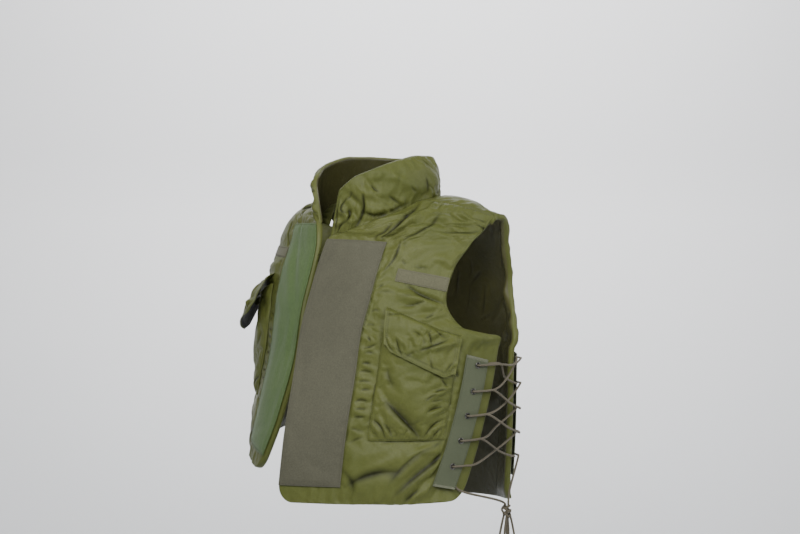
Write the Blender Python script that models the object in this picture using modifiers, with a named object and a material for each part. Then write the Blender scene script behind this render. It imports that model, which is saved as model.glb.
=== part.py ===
"""Flak vest: padded front panels, back panel and stand collar, with pockets and laced sides.

The vest keeps the shape it has when it is worn open. The wearer faces -Y, so +X is the wearer's left.
The origin is at the middle of the neck opening, at the height of the shoulder seams.
"""

import math
from collections import namedtuple

import bmesh
import bpy
from mathutils import Matrix, Vector

# Driving dimensions, in metres
PANEL_THICK = 0.013
COLLAR_THICK = 0.011
TAPE_THICK = 0.0018
POUCH_THICK = 0.002
RIM_BEVEL = 0.0035
SEAM_GAP = 0.0006
TAPE_LIFT = 0.0011
CORNER_RADIUS = 0.030

ROW_STEP = 0.042
FRONT_COLUMNS = 12
BACK_COLUMNS = 8

CLOSURE_WIDTH = 0.115
CLOSURE_BELOW_NECK = 0.006
CLOSURE_ABOVE_HEM = 0.030
CLOSURE_INSET = 0.003

POCKET_FROM_EDGE = 0.154
POCKET_WIDTH = 0.133
POCKET_ABOVE_HEM = 0.112
POCKET_INNER_HEIGHT = 0.224
POCKET_OUTER_HEIGHT = 0.167
POCKET_BULGE = 0.015
MOUTH_GAP = 0.011
FLAP_HEIGHT = 0.081
FLAP_ABOVE_MOUTH = 0.016
FLAP_CLEAR = 0.0024
FLAP_RAISE = 0.030
FLAP_TAPER = 0.09
FLAP_TAPE_GAP = 0.0009
FLAP_CELLS = 6
FLAP_CLIMBS = [0.0, 0.2, 0.4, 0.6, 0.74, 0.86, 1.0]
LEFT_FLAP_LIFT = 0.0020
RIGHT_FLAP_LIFT = 0.0013
LEFT_POCKET_LIFT = 0.0016
RIGHT_POCKET_LIFT = 0.0008

NAME_TAPE_LENGTH = 0.095
NAME_TAPE_HEIGHT = 0.022
NAME_TAPE_LIFT = 0.0007

LACE_STRIP_WIDTH = 0.046
LACE_STRIP_LENGTH = 0.228
LACE_STRIP_FROM_EDGE = 0.031
LACE_STRIP_SLANT = 0.010
LACE_STRIP_LIFT = 0.0018
FRONT_STRIP_RISE = 0.026
BACK_STRIP_RISE = 0.050
LACE_RECESS = 0.0062
RECESS_COLUMNS = (0.076, 0.062, 0.036)
RECESS_BELOW_ARM = 0.014
EYELET_COUNT = 5
EYELET_PITCH = 0.0448
FIRST_EYELET_DROP = 0.0120
EYELET_BORE = 0.0032
EYELET_BARREL = 0.0040
EYELET_FLANGE = 0.0057
EYELET_HOLE = 0.0044
EYELET_STEPS = 7
LACE_DIAMETER = 0.004
LACE_SAG = Vector((0, 0, -0.006))
LEFT_KNOT = Vector((0.262, 0.038, -0.560))
RIGHT_KNOT = Vector((-0.264, 0.060, -0.506))
KNOT_SIZE = Vector((0.0065, 0.0075, 0.010))

COLLAR_CELLS = 10
COLLAR_TUCK = 0.005
COLLAR_SWELL = 0.006
COLLAR_CLIMBS = [0.0, 0.15, 0.4, 0.7, 1.0]

# The sections of a padded panel's outer face, from the hem up. A section starts at the panel's inner edge
# (front edge, neckline or centre back) and ends at its outer edge (side or armhole). The turns are its
# directions in plan at both ends, in degrees from +X towards +Y, and arch is how far its middle rises.
Section = namedtuple("Section", "name x_in y_in z_in x_out y_out z_out turn_in turn_out arch")

LEFT_SECTIONS = [
    Section("hem", 0.000, -0.281, -0.532, 0.246, -0.058, -0.528, 27, 75, 0),
    Section("belly", 0.000, -0.264, -0.420, 0.253, -0.012, -0.418, 28, 80, 0),
    Section("waist", 0.000, -0.237, -0.300, 0.257, 0.023, -0.301, 28, 83, 0),
    Section("side_top", 0.000, -0.228, -0.256, 0.257, 0.033, -0.250, 27, 83, 0),
    Section("arm_low", 0.000, -0.218, -0.220, 0.228, -0.041, -0.228, 26, 62, 0),
    Section("arm_front", 0.000, -0.198, -0.168, 0.203, -0.057, -0.180, 24, 50, 0),
    Section("arm_mid", 0.000, -0.176, -0.116, 0.205, -0.037, -0.122, 22, 45, 0),
    Section("chest_top", 0.000, -0.152, -0.072, 0.214, -0.008, -0.087, 20, 48, 0.002),
    Section("neck_front", 0.030, -0.138, -0.059, 0.219, -0.001, -0.076, 22, 46, 0.003),
    Section("neck_corner", 0.067, -0.112, -0.041, 0.225, 0.009, -0.065, 24, 44, 0.005),
    Section("neck_side", 0.092, -0.064, -0.023, 0.230, 0.022, -0.050, 25, 36, 0.007),
    Section("shoulder", 0.099, -0.030, -0.009, 0.234, 0.030, -0.039, 20, 26, 0.007),
    Section("seam", 0.100, -0.012, -0.004, 0.236, 0.036, -0.033, 15, 20, 0.006),
]

# The wearer's right front, given as if it were on the left and mirrored afterwards: it is hitched up and
# swings further out.
RIGHT_SECTIONS = [
    Section("hem", 0.062, -0.265, -0.487, 0.268, 0.002, -0.452, 26, 78, 0),
    Section("belly", 0.024, -0.246, -0.380, 0.276, 0.006, -0.345, 20, 80, 0),
    Section("waist", 0.006, -0.222, -0.268, 0.276, 0.016, -0.245, 17, 82, 0),
    Section("side_top", 0.007, -0.213, -0.226, 0.274, 0.022, -0.200, 16, 82, 0),
    Section("arm_low", 0.009, -0.203, -0.192, 0.248, -0.046, -0.178, 16, 62, 0),
    Section("arm_front", 0.010, -0.184, -0.142, 0.229, -0.063, -0.135, 17, 58, 0),
    Section("arm_mid", 0.014, -0.164, -0.092, 0.229, -0.050, -0.092, 20, 50, 0),
    Section("chest_top", 0.030, -0.147, -0.045, 0.229, -0.036, -0.058, 26, 42, 0.003),
    Section("neck_front", 0.047, -0.134, -0.038, 0.229, -0.026, -0.049, 27, 40, 0.005),
    Section("neck_corner", 0.074, -0.108, -0.031, 0.230, -0.009, -0.040, 27, 38, 0.007),
    Section("neck_side", 0.093, -0.064, -0.020, 0.232, 0.013, -0.031, 25, 32, 0.008),
    Section("shoulder", 0.099, -0.030, -0.009, 0.232, 0.028, -0.025, 19, 24, 0.007),
    Section("seam", 0.100, -0.012, -0.004, 0.236, 0.036, -0.021, 15, 20, 0.006),
]

# Half of the back, from the centre line to the wearer's left.
BACK_SECTIONS = [
    Section("hem", 0.000, 0.154, -0.572, 0.235, 0.090, -0.553, 0, -48, 0),
    Section("mid", 0.000, 0.156, -0.425, 0.238, 0.095, -0.414, 0, -52, 0),
    Section("side_top", 0.000, 0.154, -0.275, 0.238, 0.100, -0.262, 0, -50, 0),
    Section("arm_low", 0.000, 0.152, -0.225, 0.224, 0.114, -0.215, 0, -40, 0),
    Section("arm_mid", 0.000, 0.146, -0.160, 0.212, 0.120, -0.150, 0, -35, 0),
    Section("arm_up", 0.000, 0.134, -0.092, 0.216, 0.106, -0.090, 0, -30, 0),
    Section("shoulder_back", 0.000, 0.113, -0.034, 0.230, 0.084, -0.048, 0, -25, 0.003),
    Section("neck_back", 0.000, 0.090, -0.001, 0.235, 0.072, -0.036, 0, -18, 0.005),
    Section("neck_diag", 0.054, 0.080, 0.003, 0.237, 0.060, -0.032, -6, -8, 0.006),
    Section("neck_side", 0.090, 0.044, 0.003, 0.237, 0.048, -0.031, 4, 6, 0.006),
    Section("seam", 0.100, -0.0114, -0.004, 0.236, 0.0366, -0.033, 15, 20, 0.006),
]

# The wearer's right shoulder sits this much higher at its outer end.
RIGHT_SHOULDER_LIFT = 0.012

# The collar's top edge, outer face, from the front end round to the centre back, as shares of the way
# round from 0 to 1. The right side is mirrored from the left apart from its front end.
CollarTop = namedtuple("CollarTop", "name share x y z")
COLLAR_TOP = [
    CollarTop("front_end", 0.00, 0.024, -0.1475, 0.012),
    CollarTop("front", 0.16, 0.048, -0.130, 0.038),
    CollarTop("corner", 0.32, 0.073, -0.104, 0.053),
    CollarTop("side", 0.50, 0.087, -0.056, 0.069),
    CollarTop("shoulder", 0.66, 0.090, -0.004, 0.078),
    CollarTop("back_side", 0.80, 0.079, 0.042, 0.078),
    CollarTop("back_diag", 0.90, 0.048, 0.070, 0.076),
    CollarTop("back", 1.00, 0.000, 0.080, 0.074),
]
RIGHT_END_SHIFT = Vector((-0.024, 0.004, 0.004))

BEZIER_STEPS = 20
BEZIER_FULLNESS = 0.37
SEAM_BLEND = 0.045
SEAM_DOWN = Vector((0, 0, -1))


def remove_everything():
    for item in list(bpy.data.objects):
        bpy.data.objects.remove(item)


def monotone(knots, values, at):
    """Smooth interpolation without overshoot through (knot, value) pairs."""
    at = min(max(at, knots[0]), knots[-1])
    slopes = [(b - a) / (t - s) for s, t, a, b in zip(knots, knots[1:], values, values[1:])]
    tangents = [slopes[0]]
    for before, after in zip(slopes, slopes[1:]):
        same_way = before * after > 0
        tangents.append(2 * before * after / (before + after) if same_way else 0.0)
    tangents.append(slopes[-1])
    k = max(i for i in range(len(knots) - 1) if knots[i] <= at or i == 0)
    span = knots[k + 1] - knots[k]
    t = (at - knots[k]) / span
    return (
        (2 * t**3 - 3 * t**2 + 1) * values[k]
        + (t**3 - 2 * t**2 + t) * span * tangents[k]
        + (3 * t**2 - 2 * t**3) * values[k + 1]
        + (t**3 - t**2) * span * tangents[k + 1]
    )


def smooth_step(low, high, at):
    t = min(max((at - low) / (high - low), 0.0), 1.0)
    return t * t * (3 - 2 * t)


class Panel:
    """The outer face of a padded panel, lofted through its sections.

    A place on it is given as along, the distance from the inner edge on a section, and rise, the distance
    from the hem up the inner edge, both in metres.
    """

    def __init__(self, sections, side=1, outward=1, lace_recess=True):
        self.sections = sections
        self.side = side
        self.outward = outward
        self.lace_recess = lace_recess
        edge = [Vector((s.x_in, s.y_in, s.z_in)) for s in sections]
        self.rises = [0.0]
        for a, b in zip(edge, edge[1:]):
            self.rises.append(self.rises[-1] + (b - a).length)

    def rise_of(self, name):
        return self.rises[[s.name for s in self.sections].index(name)]

    def section_at(self, rise):
        columns = list(zip(*[s[1:] for s in self.sections]))
        return Section("", *[monotone(self.rises, c, rise) for c in columns])

    def bezier(self, s):
        start, end = Vector((s.x_in, s.y_in, s.z_in)), Vector((s.x_out, s.y_out, s.z_out))
        reach = (end - start).xy.length * BEZIER_FULLNESS
        turn_in, turn_out = math.radians(s.turn_in), math.radians(s.turn_out)
        third = (end - start) / 3
        first = Vector((math.cos(turn_in) * reach, math.sin(turn_in) * reach, third.z))
        last = Vector((math.cos(turn_out) * reach, math.sin(turn_out) * reach, third.z))
        control = [start, start + first, end - last, end]
        points = []
        for i in range(BEZIER_STEPS + 1):
            t = i / BEZIER_STEPS
            weights = [(1 - t) ** 3, 3 * t * (1 - t) ** 2, 3 * t * t * (1 - t), t**3]
            p = sum((c * w for c, w in zip(control, weights)), Vector())
            p.z += s.arch * math.sin(math.pi * t)
            points.append(p)
        return points

    def width(self, rise):
        line = self.bezier(self.section_at(rise))
        return sum((b - a).length for a, b in zip(line, line[1:]))

    def inset(self, rise):
        """How far the rounded corners at the hem stand in from the straight edges."""
        if rise >= CORNER_RADIUS:
            return 0.0
        return CORNER_RADIUS - math.sqrt(CORNER_RADIUS**2 - (CORNER_RADIUS - rise) ** 2)

    def flat_point(self, along, rise):
        line = self.bezier(self.section_at(rise))
        left = along
        for a, b in zip(line, line[1:]):
            step = (b - a).length
            if left <= step or b is line[-1]:
                p = a.lerp(b, left / step)
                return Vector((p.x * self.side, p.y, p.z))
            left -= step

    def normal(self, along, rise):
        nudge = 0.004
        width = self.width(rise)
        a0, a1 = max(along - nudge, 0), min(along + nudge, width)
        r0, r1 = max(rise - nudge, 0), min(rise + nudge, self.rises[-1])
        share = along / width
        across = self.flat_point(a1, rise) - self.flat_point(a0, rise)
        up = self.flat_point(share * self.width(r1), r1) - self.flat_point(share * self.width(r0), r0)
        return across.cross(up).normalized() * self.side * self.outward

    def recess(self, along, rise):
        """The padding is thinner under the lacing strip, so that the cord can run behind it."""
        if not self.lace_recess:
            return 0.0
        from_edge = self.width(rise) - along
        beside = 1 - smooth_step(RECESS_COLUMNS[1], RECESS_COLUMNS[0], from_edge)
        top = self.rise_of("side_top")
        below_arm = 1 - smooth_step(top - RECESS_BELOW_ARM, top, rise)
        above_hem = smooth_step(0.000, 0.022, rise)
        return LACE_RECESS * beside * below_arm * above_hem

    def point(self, along, rise, lift=0.0):
        normal = self.normal(along, rise)
        return self.flat_point(along, rise) + normal * (lift - self.recess(along, rise))

    def padding(self, along, rise):
        """The way the padding goes in from the face: straight down at the shoulder seam, where the front
        and the back meet along one upright face."""
        at_seam = smooth_step(self.rises[-1] - SEAM_BLEND, self.rises[-1], rise)
        return (-self.normal(along, rise)).lerp(SEAM_DOWN, at_seam).normalized()

    def over(self, along, rise, lift):
        """A point above the face, as if the recess under the lacing were filled."""
        return self.flat_point(along, rise) + self.normal(along, rise) * lift

    def columns(self, count, rise, both_corners=True):
        """Distances along a section for a mesh: even steps, but below the armhole the last columns follow
        the recess under the lacing strip."""
        width, inset = self.width(rise), self.inset(rise)
        start = inset if both_corners else 0.0
        end = width - inset
        even = [start + (end - start) * i / count for i in range(count + 1)]
        wide = count - len(RECESS_COLUMNS)
        recess_start = width - RECESS_COLUMNS[0]
        shaped = [start + (recess_start - start) * i / wide for i in range(wide)]
        shaped += [width - c for c in RECESS_COLUMNS] + [end]
        above = smooth_step(self.rise_of("side_top"), self.rise_of("arm_low") + 0.02, rise)
        return [a + (b - a) * above for a, b in zip(shaped, even)]

    def row_rises(self):
        """Rises for a mesh: the rounded hem, every section, and steps of about ROW_STEP between them."""
        rises = [0.0, 0.008]
        stops = sorted([CORNER_RADIUS, self.rise_of("side_top") - RECESS_BELOW_ARM] + self.rises[1:])
        for low, high in zip(stops, stops[1:]):
            steps = max(1, round((high - low) / ROW_STEP))
            rises += [low + (high - low) * i / steps for i in range(steps)]
        return rises + [self.rises[-1]]


def make_material(name, colour, roughness, metallic=0.0):
    material = bpy.data.materials.new(name)
    material.use_nodes = True
    shader = material.node_tree.nodes["Principled BSDF"]
    shader.inputs["Base Color"].default_value = (*colour, 1)
    shader.inputs["Roughness"].default_value = roughness
    shader.inputs["Metallic"].default_value = metallic
    return material


def linked_object(name, bm, material, collection):
    mesh = bpy.data.meshes.new(name)
    bm.to_mesh(mesh)
    bm.free()
    mesh.materials.append(material)
    thing = bpy.data.objects.new(name, mesh)
    collection.objects.link(thing)
    return thing


def grid_object(name, across, up, place, flip, material, collection):
    """An open sheet of across by up cells, whose corner (i, j) is at place(i, j)."""
    bm = bmesh.new()
    bmesh.ops.create_grid(bm, x_segments=across, y_segments=up, size=1)
    for vertex in bm.verts:
        i = round((vertex.co.x + 1) / 2 * across)
        j = round((vertex.co.y + 1) / 2 * up)
        vertex.co = place(i, j)
    if flip:
        bmesh.ops.reverse_faces(bm, faces=bm.faces)
    return linked_object(name, bm, material, collection)


def padded_object(name, grids, flip, thickness, material, collection):
    """A closed padded body. A grid is rows of (corner of the outer face, way the padding goes in from it),
    and corners at the same place are shared."""
    bm = bmesh.new()
    corners = {}

    def corner(point, way_in):
        key = tuple(round(c, 6) for c in point)
        if key not in corners:
            corners[key] = (bm.verts.new(point), bm.verts.new(point + way_in * thickness))
        return corners[key]

    sides = {}
    for rows in grids:
        found = [[corner(*place) for place in row] for row in rows]
        for low, high in zip(found, found[1:]):
            for k in range(len(low) - 1):
                ring = [low[k], low[k + 1], high[k + 1], high[k]]
                bm.faces.new([outer for outer, _ in ring])
                bm.faces.new([inner for _, inner in reversed(ring)])
                sides.update({pair: True for pair in zip(ring, ring[1:] + ring[:1])})
    for a, b in sides:
        if (b, a) not in sides:
            bm.faces.new([b[0], a[0], a[1], b[1]])
    if flip:
        bmesh.ops.reverse_faces(bm, faces=bm.faces)
    body = linked_object(name, bm, material, collection)
    round_rim(body, RIM_BEVEL)


def round_rim(body, width):
    rim = body.modifiers.new("Rim", "BEVEL")
    rim.width = width
    rim.segments = 1
    rim.limit_method = "ANGLE"
    rim.angle_limit = math.radians(55)


def thicken(sheet, thickness, outward=True):
    """Solidify the sheet in front of its face, or behind it."""
    solid = sheet.modifiers.new("Thickness", "SOLIDIFY")
    solid.thickness = thickness
    solid.offset = 1 if outward else -1
    solid.use_even_offset = True


def hide_among(cutters, thing):
    thing.hide_render = True
    thing.display_type = "WIRE"
    cutters.objects.link(thing)


def join(body, other, operation):
    """Unite the body with the other solid, or take the other out of it."""
    modifier = body.modifiers.new(operation.title(), "BOOLEAN")
    modifier.operation = operation
    modifier.object = other
    modifier.solver = "EXACT"


def panel_rows(panel, columns, both_corners=True):
    """A grid of the panel's outer corners, each with the way in."""
    rows = []
    for rise in panel.row_rises():
        alongs = panel.columns(columns, rise, both_corners)
        rows.append([(panel.point(along, rise), panel.padding(along, rise)) for along in alongs])
    return rows


def panel_object(name, panel, columns, material, collection):
    flip = panel.side * panel.outward < 0
    padded_object(name, [panel_rows(panel, columns)], flip, PANEL_THICK, material, collection)


def lifted_shoulder(sections, lift):
    """The sections with their outer ends raised towards the shoulder."""
    return [s._replace(z_out=s.z_out + lift * smooth_step(-0.17, -0.04, s.z_out)) for s in sections]


def back_object(name, left_half, right_half, columns, material, collection):
    """The back is one body: its two halves share the centre line below the neckline."""
    left_rows = panel_rows(left_half, columns, both_corners=False)
    right_rows = [row[::-1] for row in panel_rows(right_half, columns, both_corners=False)]
    padded_object(name, [right_rows, left_rows], True, PANEL_THICK, material, collection)


def closure_panel(name, panel, material, collection):
    """The wide fastener panel along the front edge. Its rows follow the panel's own."""
    bottom = CLOSURE_ABOVE_HEM
    top = panel.rise_of("chest_top") - CLOSURE_BELOW_NECK
    rises = [bottom] + [r for r in panel.row_rises() if bottom + 0.01 < r < top - 0.01] + [top]
    across = 4

    def place(i, j):
        along = CLOSURE_INSET + (CLOSURE_WIDTH - CLOSURE_INSET) * i / across
        return panel.over(along, rises[j], TAPE_LIFT)

    flip = panel.side * panel.outward < 0
    sheet = grid_object(name, across, len(rises) - 1, place, flip, material, collection)
    thicken(sheet, TAPE_THICK)


def name_tape(name, panel, inner_along, inner_rise, drop, material, collection):
    """The tape drops towards the armhole by drop over its length."""

    def place(i, j):
        share = i / 3
        rise = inner_rise - drop * share + NAME_TAPE_HEIGHT * j
        return panel.over(inner_along + NAME_TAPE_LENGTH * share, rise, NAME_TAPE_LIFT)

    flip = panel.side * panel.outward < 0
    sheet = grid_object(name, 3, 1, place, flip, material, collection)
    thicken(sheet, TAPE_THICK)


def mouth_rise(share):
    """The pocket's mouth slopes down from its inner to its outer side."""
    height = POCKET_INNER_HEIGHT + (POCKET_OUTER_HEIGHT - POCKET_INNER_HEIGHT) * share
    return POCKET_ABOVE_HEM + height


def pouch_bulge(share, up):
    """How far the pocket stands off the panel, from its stitched sides and bottom to its mouth."""
    sides = math.sin(math.pi * share) ** 0.6 if 0 < share < 1 else 0.0
    full = math.sin(math.pi * min(up / 0.9, 1.0) * 0.5) ** 0.7
    settle = MOUTH_GAP + (POCKET_BULGE - MOUTH_GAP) * (1 - smooth_step(0.55, 1.0, up))
    return sides * full * settle


def pocket(name, panel, seam_lift, material, collection):
    across, up = 6, 7

    def place(i, j):
        share, climb = i / across, j / up
        rise = POCKET_ABOVE_HEM + (mouth_rise(share) - POCKET_ABOVE_HEM) * climb
        lift = seam_lift + pouch_bulge(share, climb)
        return panel.over(POCKET_FROM_EDGE + POCKET_WIDTH * share, rise, lift)

    flip = panel.side * panel.outward < 0
    sheet = grid_object(name, across, up, place, flip, material, collection)
    thicken(sheet, POUCH_THICK)


def flap_place(panel, share, climb, raised, seam_lift):
    """A point of the flap: climb is 0 at its free lower edge and 1 at the edge sewn to the panel."""
    rise = mouth_rise(share) + FLAP_ABOVE_MOUTH - FLAP_HEIGHT * (1 - climb)
    pouch_share = min(max(share, 0.0), 1.0)
    up_pouch = (rise - POCKET_ABOVE_HEM) / (mouth_rise(pouch_share) - POCKET_ABOVE_HEM)
    under = pouch_bulge(pouch_share, min(up_pouch, 1.0))
    sewn = smooth_step(0.84, 1.0, climb)
    lift = seam_lift + (1 - sewn) * max(under + POUCH_THICK + FLAP_CLEAR, 0.6 * POCKET_BULGE)
    lift += raised * (1 - climb) ** 0.8
    taper = FLAP_TAPER * (1 - climb) * (1 - 1.5 * share)
    return panel.over(POCKET_FROM_EDGE + POCKET_WIDTH * (1.09 * share - 0.05 + taper), rise, lift)


def pocket_flap(name, panel, raised, seam_lift, material, collection):
    sheet = grid_object(name, FLAP_CELLS, len(FLAP_CLIMBS) - 1,
                        lambda i, j: flap_place(panel, i / FLAP_CELLS, FLAP_CLIMBS[j], raised, seam_lift),
                        panel.side * panel.outward < 0, material, collection)
    thicken(sheet, POUCH_THICK)


def flap_tape(name, panel, raised, seam_lift, material, collection):
    """The fastener tape along the underside of the raised flap's free edge."""
    flip = panel.side * panel.outward < 0
    climbs = [FLAP_CLIMBS[0] + 0.04, FLAP_CLIMBS[1], FLAP_CLIMBS[2] - 0.04]

    def place(i, j):
        share, climb = (i + 1) / FLAP_CELLS, climbs[j]
        here = flap_place(panel, share, climb, raised, seam_lift)
        across = flap_place(panel, share + 0.02, climb, raised, seam_lift) - here
        up = flap_place(panel, share, climb + 0.02, raised, seam_lift) - here
        out = across.cross(up).normalized() * (-1 if flip else 1)
        return here - out * FLAP_TAPE_GAP

    sheet = grid_object(name, FLAP_CELLS - 2, len(climbs) - 1, place, flip, material, collection)
    thicken(sheet, TAPE_THICK, outward=False)


def eyelet_places(panel, bottom):
    """(along, rise) of the eyelets, from the top one down."""
    top = bottom + LACE_STRIP_LENGTH - FIRST_EYELET_DROP
    from_edge = LACE_STRIP_FROM_EDGE + 0.45 * LACE_STRIP_WIDTH
    found = []
    for k in range(EYELET_COUNT):
        rise = top - EYELET_PITCH * k
        found.append((panel.width(rise) - from_edge, rise))
    return found


def eyelet_frame(panel, along, rise):
    """The eyelet's axes as columns: towards the laced edge, up, and out of the face; then its centre."""
    out = panel.normal(along, rise)
    ahead = panel.over(along + 0.004, rise, LACE_STRIP_LIFT)
    centre = panel.over(along, rise, LACE_STRIP_LIFT)
    towards = (ahead - centre).normalized()
    up = out.cross(towards).normalized()
    return Matrix.Translation(centre) @ Matrix((towards, up, out)).transposed().to_4x4()


def lace_strip(name, panel, bottom, material, collection, cutters):
    across, up = 2, 8
    half = TAPE_THICK / 2

    def place(i, j):
        rise = bottom + LACE_STRIP_LENGTH * j / up + LACE_STRIP_SLANT * (0.5 - i / across)
        from_edge = LACE_STRIP_FROM_EDGE + LACE_STRIP_WIDTH * (1 - i / across)
        return panel.over(panel.width(rise) - from_edge, rise, LACE_STRIP_LIFT - half)

    sheet = grid_object(name, across, up, place, panel.side * panel.outward < 0, material, collection)
    thicken(sheet, TAPE_THICK)
    cutter_mesh = bmesh.new()
    for along, rise in eyelet_places(panel, bottom):
        bmesh.ops.create_cone(cutter_mesh, cap_ends=True, segments=EYELET_STEPS, radius1=EYELET_HOLE,
                              radius2=EYELET_HOLE, depth=0.012, matrix=eyelet_frame(panel, along, rise))
    mesh = bpy.data.meshes.new(name + "_holes")
    cutter_mesh.to_mesh(mesh)
    cutter_mesh.free()
    cutter = bpy.data.objects.new(name + "_holes", mesh)
    hide_among(cutters, cutter)
    join(sheet, cutter, "DIFFERENCE")


def eyelet_mesh(material):
    """A grommet turned about its axis: barrel through the strip, and a flange on the outer side."""
    flange_base = TAPE_THICK / 2 + 0.0003
    profile = [
        (EYELET_BORE, -0.0010),
        (EYELET_BORE + 0.0006, flange_base + 0.0009),
        (EYELET_FLANGE, flange_base),
        (EYELET_BARREL, flange_base),
        (EYELET_BARREL, -0.0010),
    ]
    bm = bmesh.new()
    corners = [bm.verts.new((r, 0, z)) for r, z in profile]
    edges = [bm.edges.new((a, b)) for a, b in zip(corners, corners[1:] + corners[:1])]
    bmesh.ops.spin(bm, geom=corners + edges, axis=(0, 0, 1), cent=(0, 0, 0), angle=math.tau,
                   steps=EYELET_STEPS)
    bmesh.ops.remove_doubles(bm, verts=bm.verts, dist=0.00001)
    bmesh.ops.recalc_face_normals(bm, faces=bm.faces)
    mesh = bpy.data.meshes.new("eyelet")
    bm.to_mesh(mesh)
    bm.free()
    mesh.materials.append(material)
    return mesh


def eyelets(prefix, panel, bottom, mesh, collection):
    for k, (along, rise) in enumerate(eyelet_places(panel, bottom), 1):
        ring = bpy.data.objects.new(f"{prefix}_eyelet_{k}", mesh)
        ring.matrix_world = eyelet_frame(panel, along, rise)
        collection.objects.link(ring)


def tube(name, points, diameter, material, collection):
    curve = bpy.data.curves.new(name, "CURVE")
    curve.dimensions = "3D"
    curve.bevel_depth = diameter / 2
    curve.bevel_resolution = 2
    curve.use_fill_caps = True
    spline = curve.splines.new("POLY")
    spline.points.add(len(points) - 1)
    for target, p in zip(spline.points, points):
        target.co = (*p, 1)
    curve.materials.append(material)
    cord = bpy.data.objects.new(name, curve)
    collection.objects.link(cord)
    return cord


class Lacing:
    """One side's lacing: where the cord leaves each eyelet, over or under its strip."""

    def __init__(self, front, front_bottom, back, back_bottom):
        self.panels = {"F": (front, front_bottom), "B": (back, back_bottom)}

    def turn(self, stop, level):
        """Points from an eyelet out past the laced edge, over (+1) or under (-1) the strip."""
        panel, bottom = self.panels[stop[0]]
        along, rise = eyelet_places(panel, bottom)[int(stop[1]) - 1]
        frame = eyelet_frame(panel, along, rise)
        edge = panel.width(rise) - along - 0.0005
        if level > 0:
            route = [(0.0006, 0.0036), (0.0060, 0.0052), (0.0240, 0.0050), (edge - 0.012, 0.0044)]
        else:
            route = [(0.0006, -0.0034), (0.0060, -0.0046), (edge, -0.0038)]
        found = [frame @ Vector((way, 0, height)) for way, height in route[:2]]
        return found + [panel.over(along + way, rise, LACE_STRIP_LIFT + height) for way, height in route[2:]]

    def tail(self, stop):
        """Points from an eyelet down under its strip, out at the strip's lower end and off the hem corner."""
        panel, bottom = self.panels[stop[0]]
        edge = LACE_STRIP_FROM_EDGE
        route = [(edge + 0.010, bottom + 0.012, -0.0028), (edge - 0.006, bottom - 0.004, -0.0014),
                 (edge - 0.018, bottom - 0.010, 0.0040)]
        return self.turn(stop, -1)[:2] + [panel.over(panel.width(r) - e, r, lift) for e, r, lift in route]

    def crossing(self, a, level_a, b, level_b, bow):
        """The cord from eyelet a to eyelet b, bowed out by bow between the two laced edges."""
        start, end = self.turn(a, level_a), self.turn(b, level_b)
        middle = start[-1].lerp(end[-1], 0.5)
        out = (middle * Vector((1, 1, 0))).normalized()
        return start + [middle + out * bow + LACE_SAG] + end[::-1]


# The lace from the knot up the sides and back to the knot. Each row is a run between two eyelets: F is the
# front strip, B the back strip, 1 the top eyelet; over is +1 and under is -1.
Run = namedtuple("Run", "start start_level end end_level bow")
LACE_RUNS = [
    Run("B5", -1, "F4", 1, 0.004),
    Run("F4", -1, "B3", -1, -0.007),
    Run("B3", 1, "F2", 1, 0.007),
    Run("F2", -1, "B1", -1, 0.003),
    Run("B1", 1, "F1", 1, 0.007),
    Run("F1", -1, "B2", -1, -0.007),
    Run("B2", 1, "F3", -1, 0.003),
    Run("F3", 1, "B4", 1, 0.009),
    Run("B4", -1, "F5", 1, -0.003),
]


def lace_points(lacing, knot, side):
    """The whole route of a lace, from its end in the knot to its other end in the knot."""
    start = lacing.turn("B5", 1)
    points = [knot + Vector((0, 0.0035, 0.0100)), knot + Vector((-0.001 * side, 0.005, 0.018))]
    points.append(knot + Vector((-0.006 * side, 0.013, 0.030)))
    points += start[::-1]
    for run in LACE_RUNS:
        points += lacing.crossing(run.start, run.start_level, run.end, run.end_level, run.bow)
    points += lacing.tail("F5")
    points += [knot + Vector((-0.001 * side, -0.007, 0.016)), knot + Vector((0, -0.0035, 0.0096))]
    return points


def as_mesh(strand, cutters):
    """The strand's tube as a closed mesh among the cutters, in place of the curve."""
    bpy.context.view_layer.update()
    evaluated = strand.evaluated_get(bpy.context.evaluated_depsgraph_get())
    mesh = bpy.data.meshes.new_from_object(evaluated)
    bm = bmesh.new()
    bm.from_mesh(mesh)
    bmesh.ops.remove_doubles(bm, verts=bm.verts, dist=0.00001)
    bmesh.ops.recalc_face_normals(bm, faces=bm.faces)
    bm.to_mesh(mesh)
    bm.free()
    other = bpy.data.objects.new(strand.name + "_solid", mesh)
    bpy.data.objects.remove(strand)
    hide_among(cutters, other)
    return other


def cord_loop(knot, side, x, spread, swing, length):
    """A hanging loop of the bow: out of the knot on one side, down and round, and back in on the other."""
    steps = 8
    points = []
    for k in range(steps + 1):
        turn = math.pi * k / steps
        across = -0.0035 * math.cos(turn) - spread * math.sin(2 * turn)
        down = length * math.sin(turn)
        points.append(knot + Vector(((x + swing * down) * side, across, -down - 0.001)))
    return points


def bow(name, knot, side, material, collection, cutters):
    """The knot and its hanging loops and tails, joined into one body."""
    tubes = [
        cord_loop(knot, side, 0.0027, 0.014, 0.06, 0.098),
        cord_loop(knot, side, -0.0027, 0.011, -0.09, 0.082),
        [knot + Vector((0, 0, -d)) for d in (0.0, 0.02, 0.045, 0.07, 0.115)],
    ]
    bm = bmesh.new()
    bmesh.ops.create_icosphere(bm, subdivisions=2, radius=1)
    for vertex in bm.verts:
        vertex.co = knot + vertex.co * KNOT_SIZE
    body = linked_object(name, bm, material, collection)
    for k, points in enumerate(tubes):
        other = as_mesh(tube(f"{name}_strand_{k}", points, LACE_DIAMETER, material, collection), cutters)
        join(body, other, "UNION")


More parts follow.
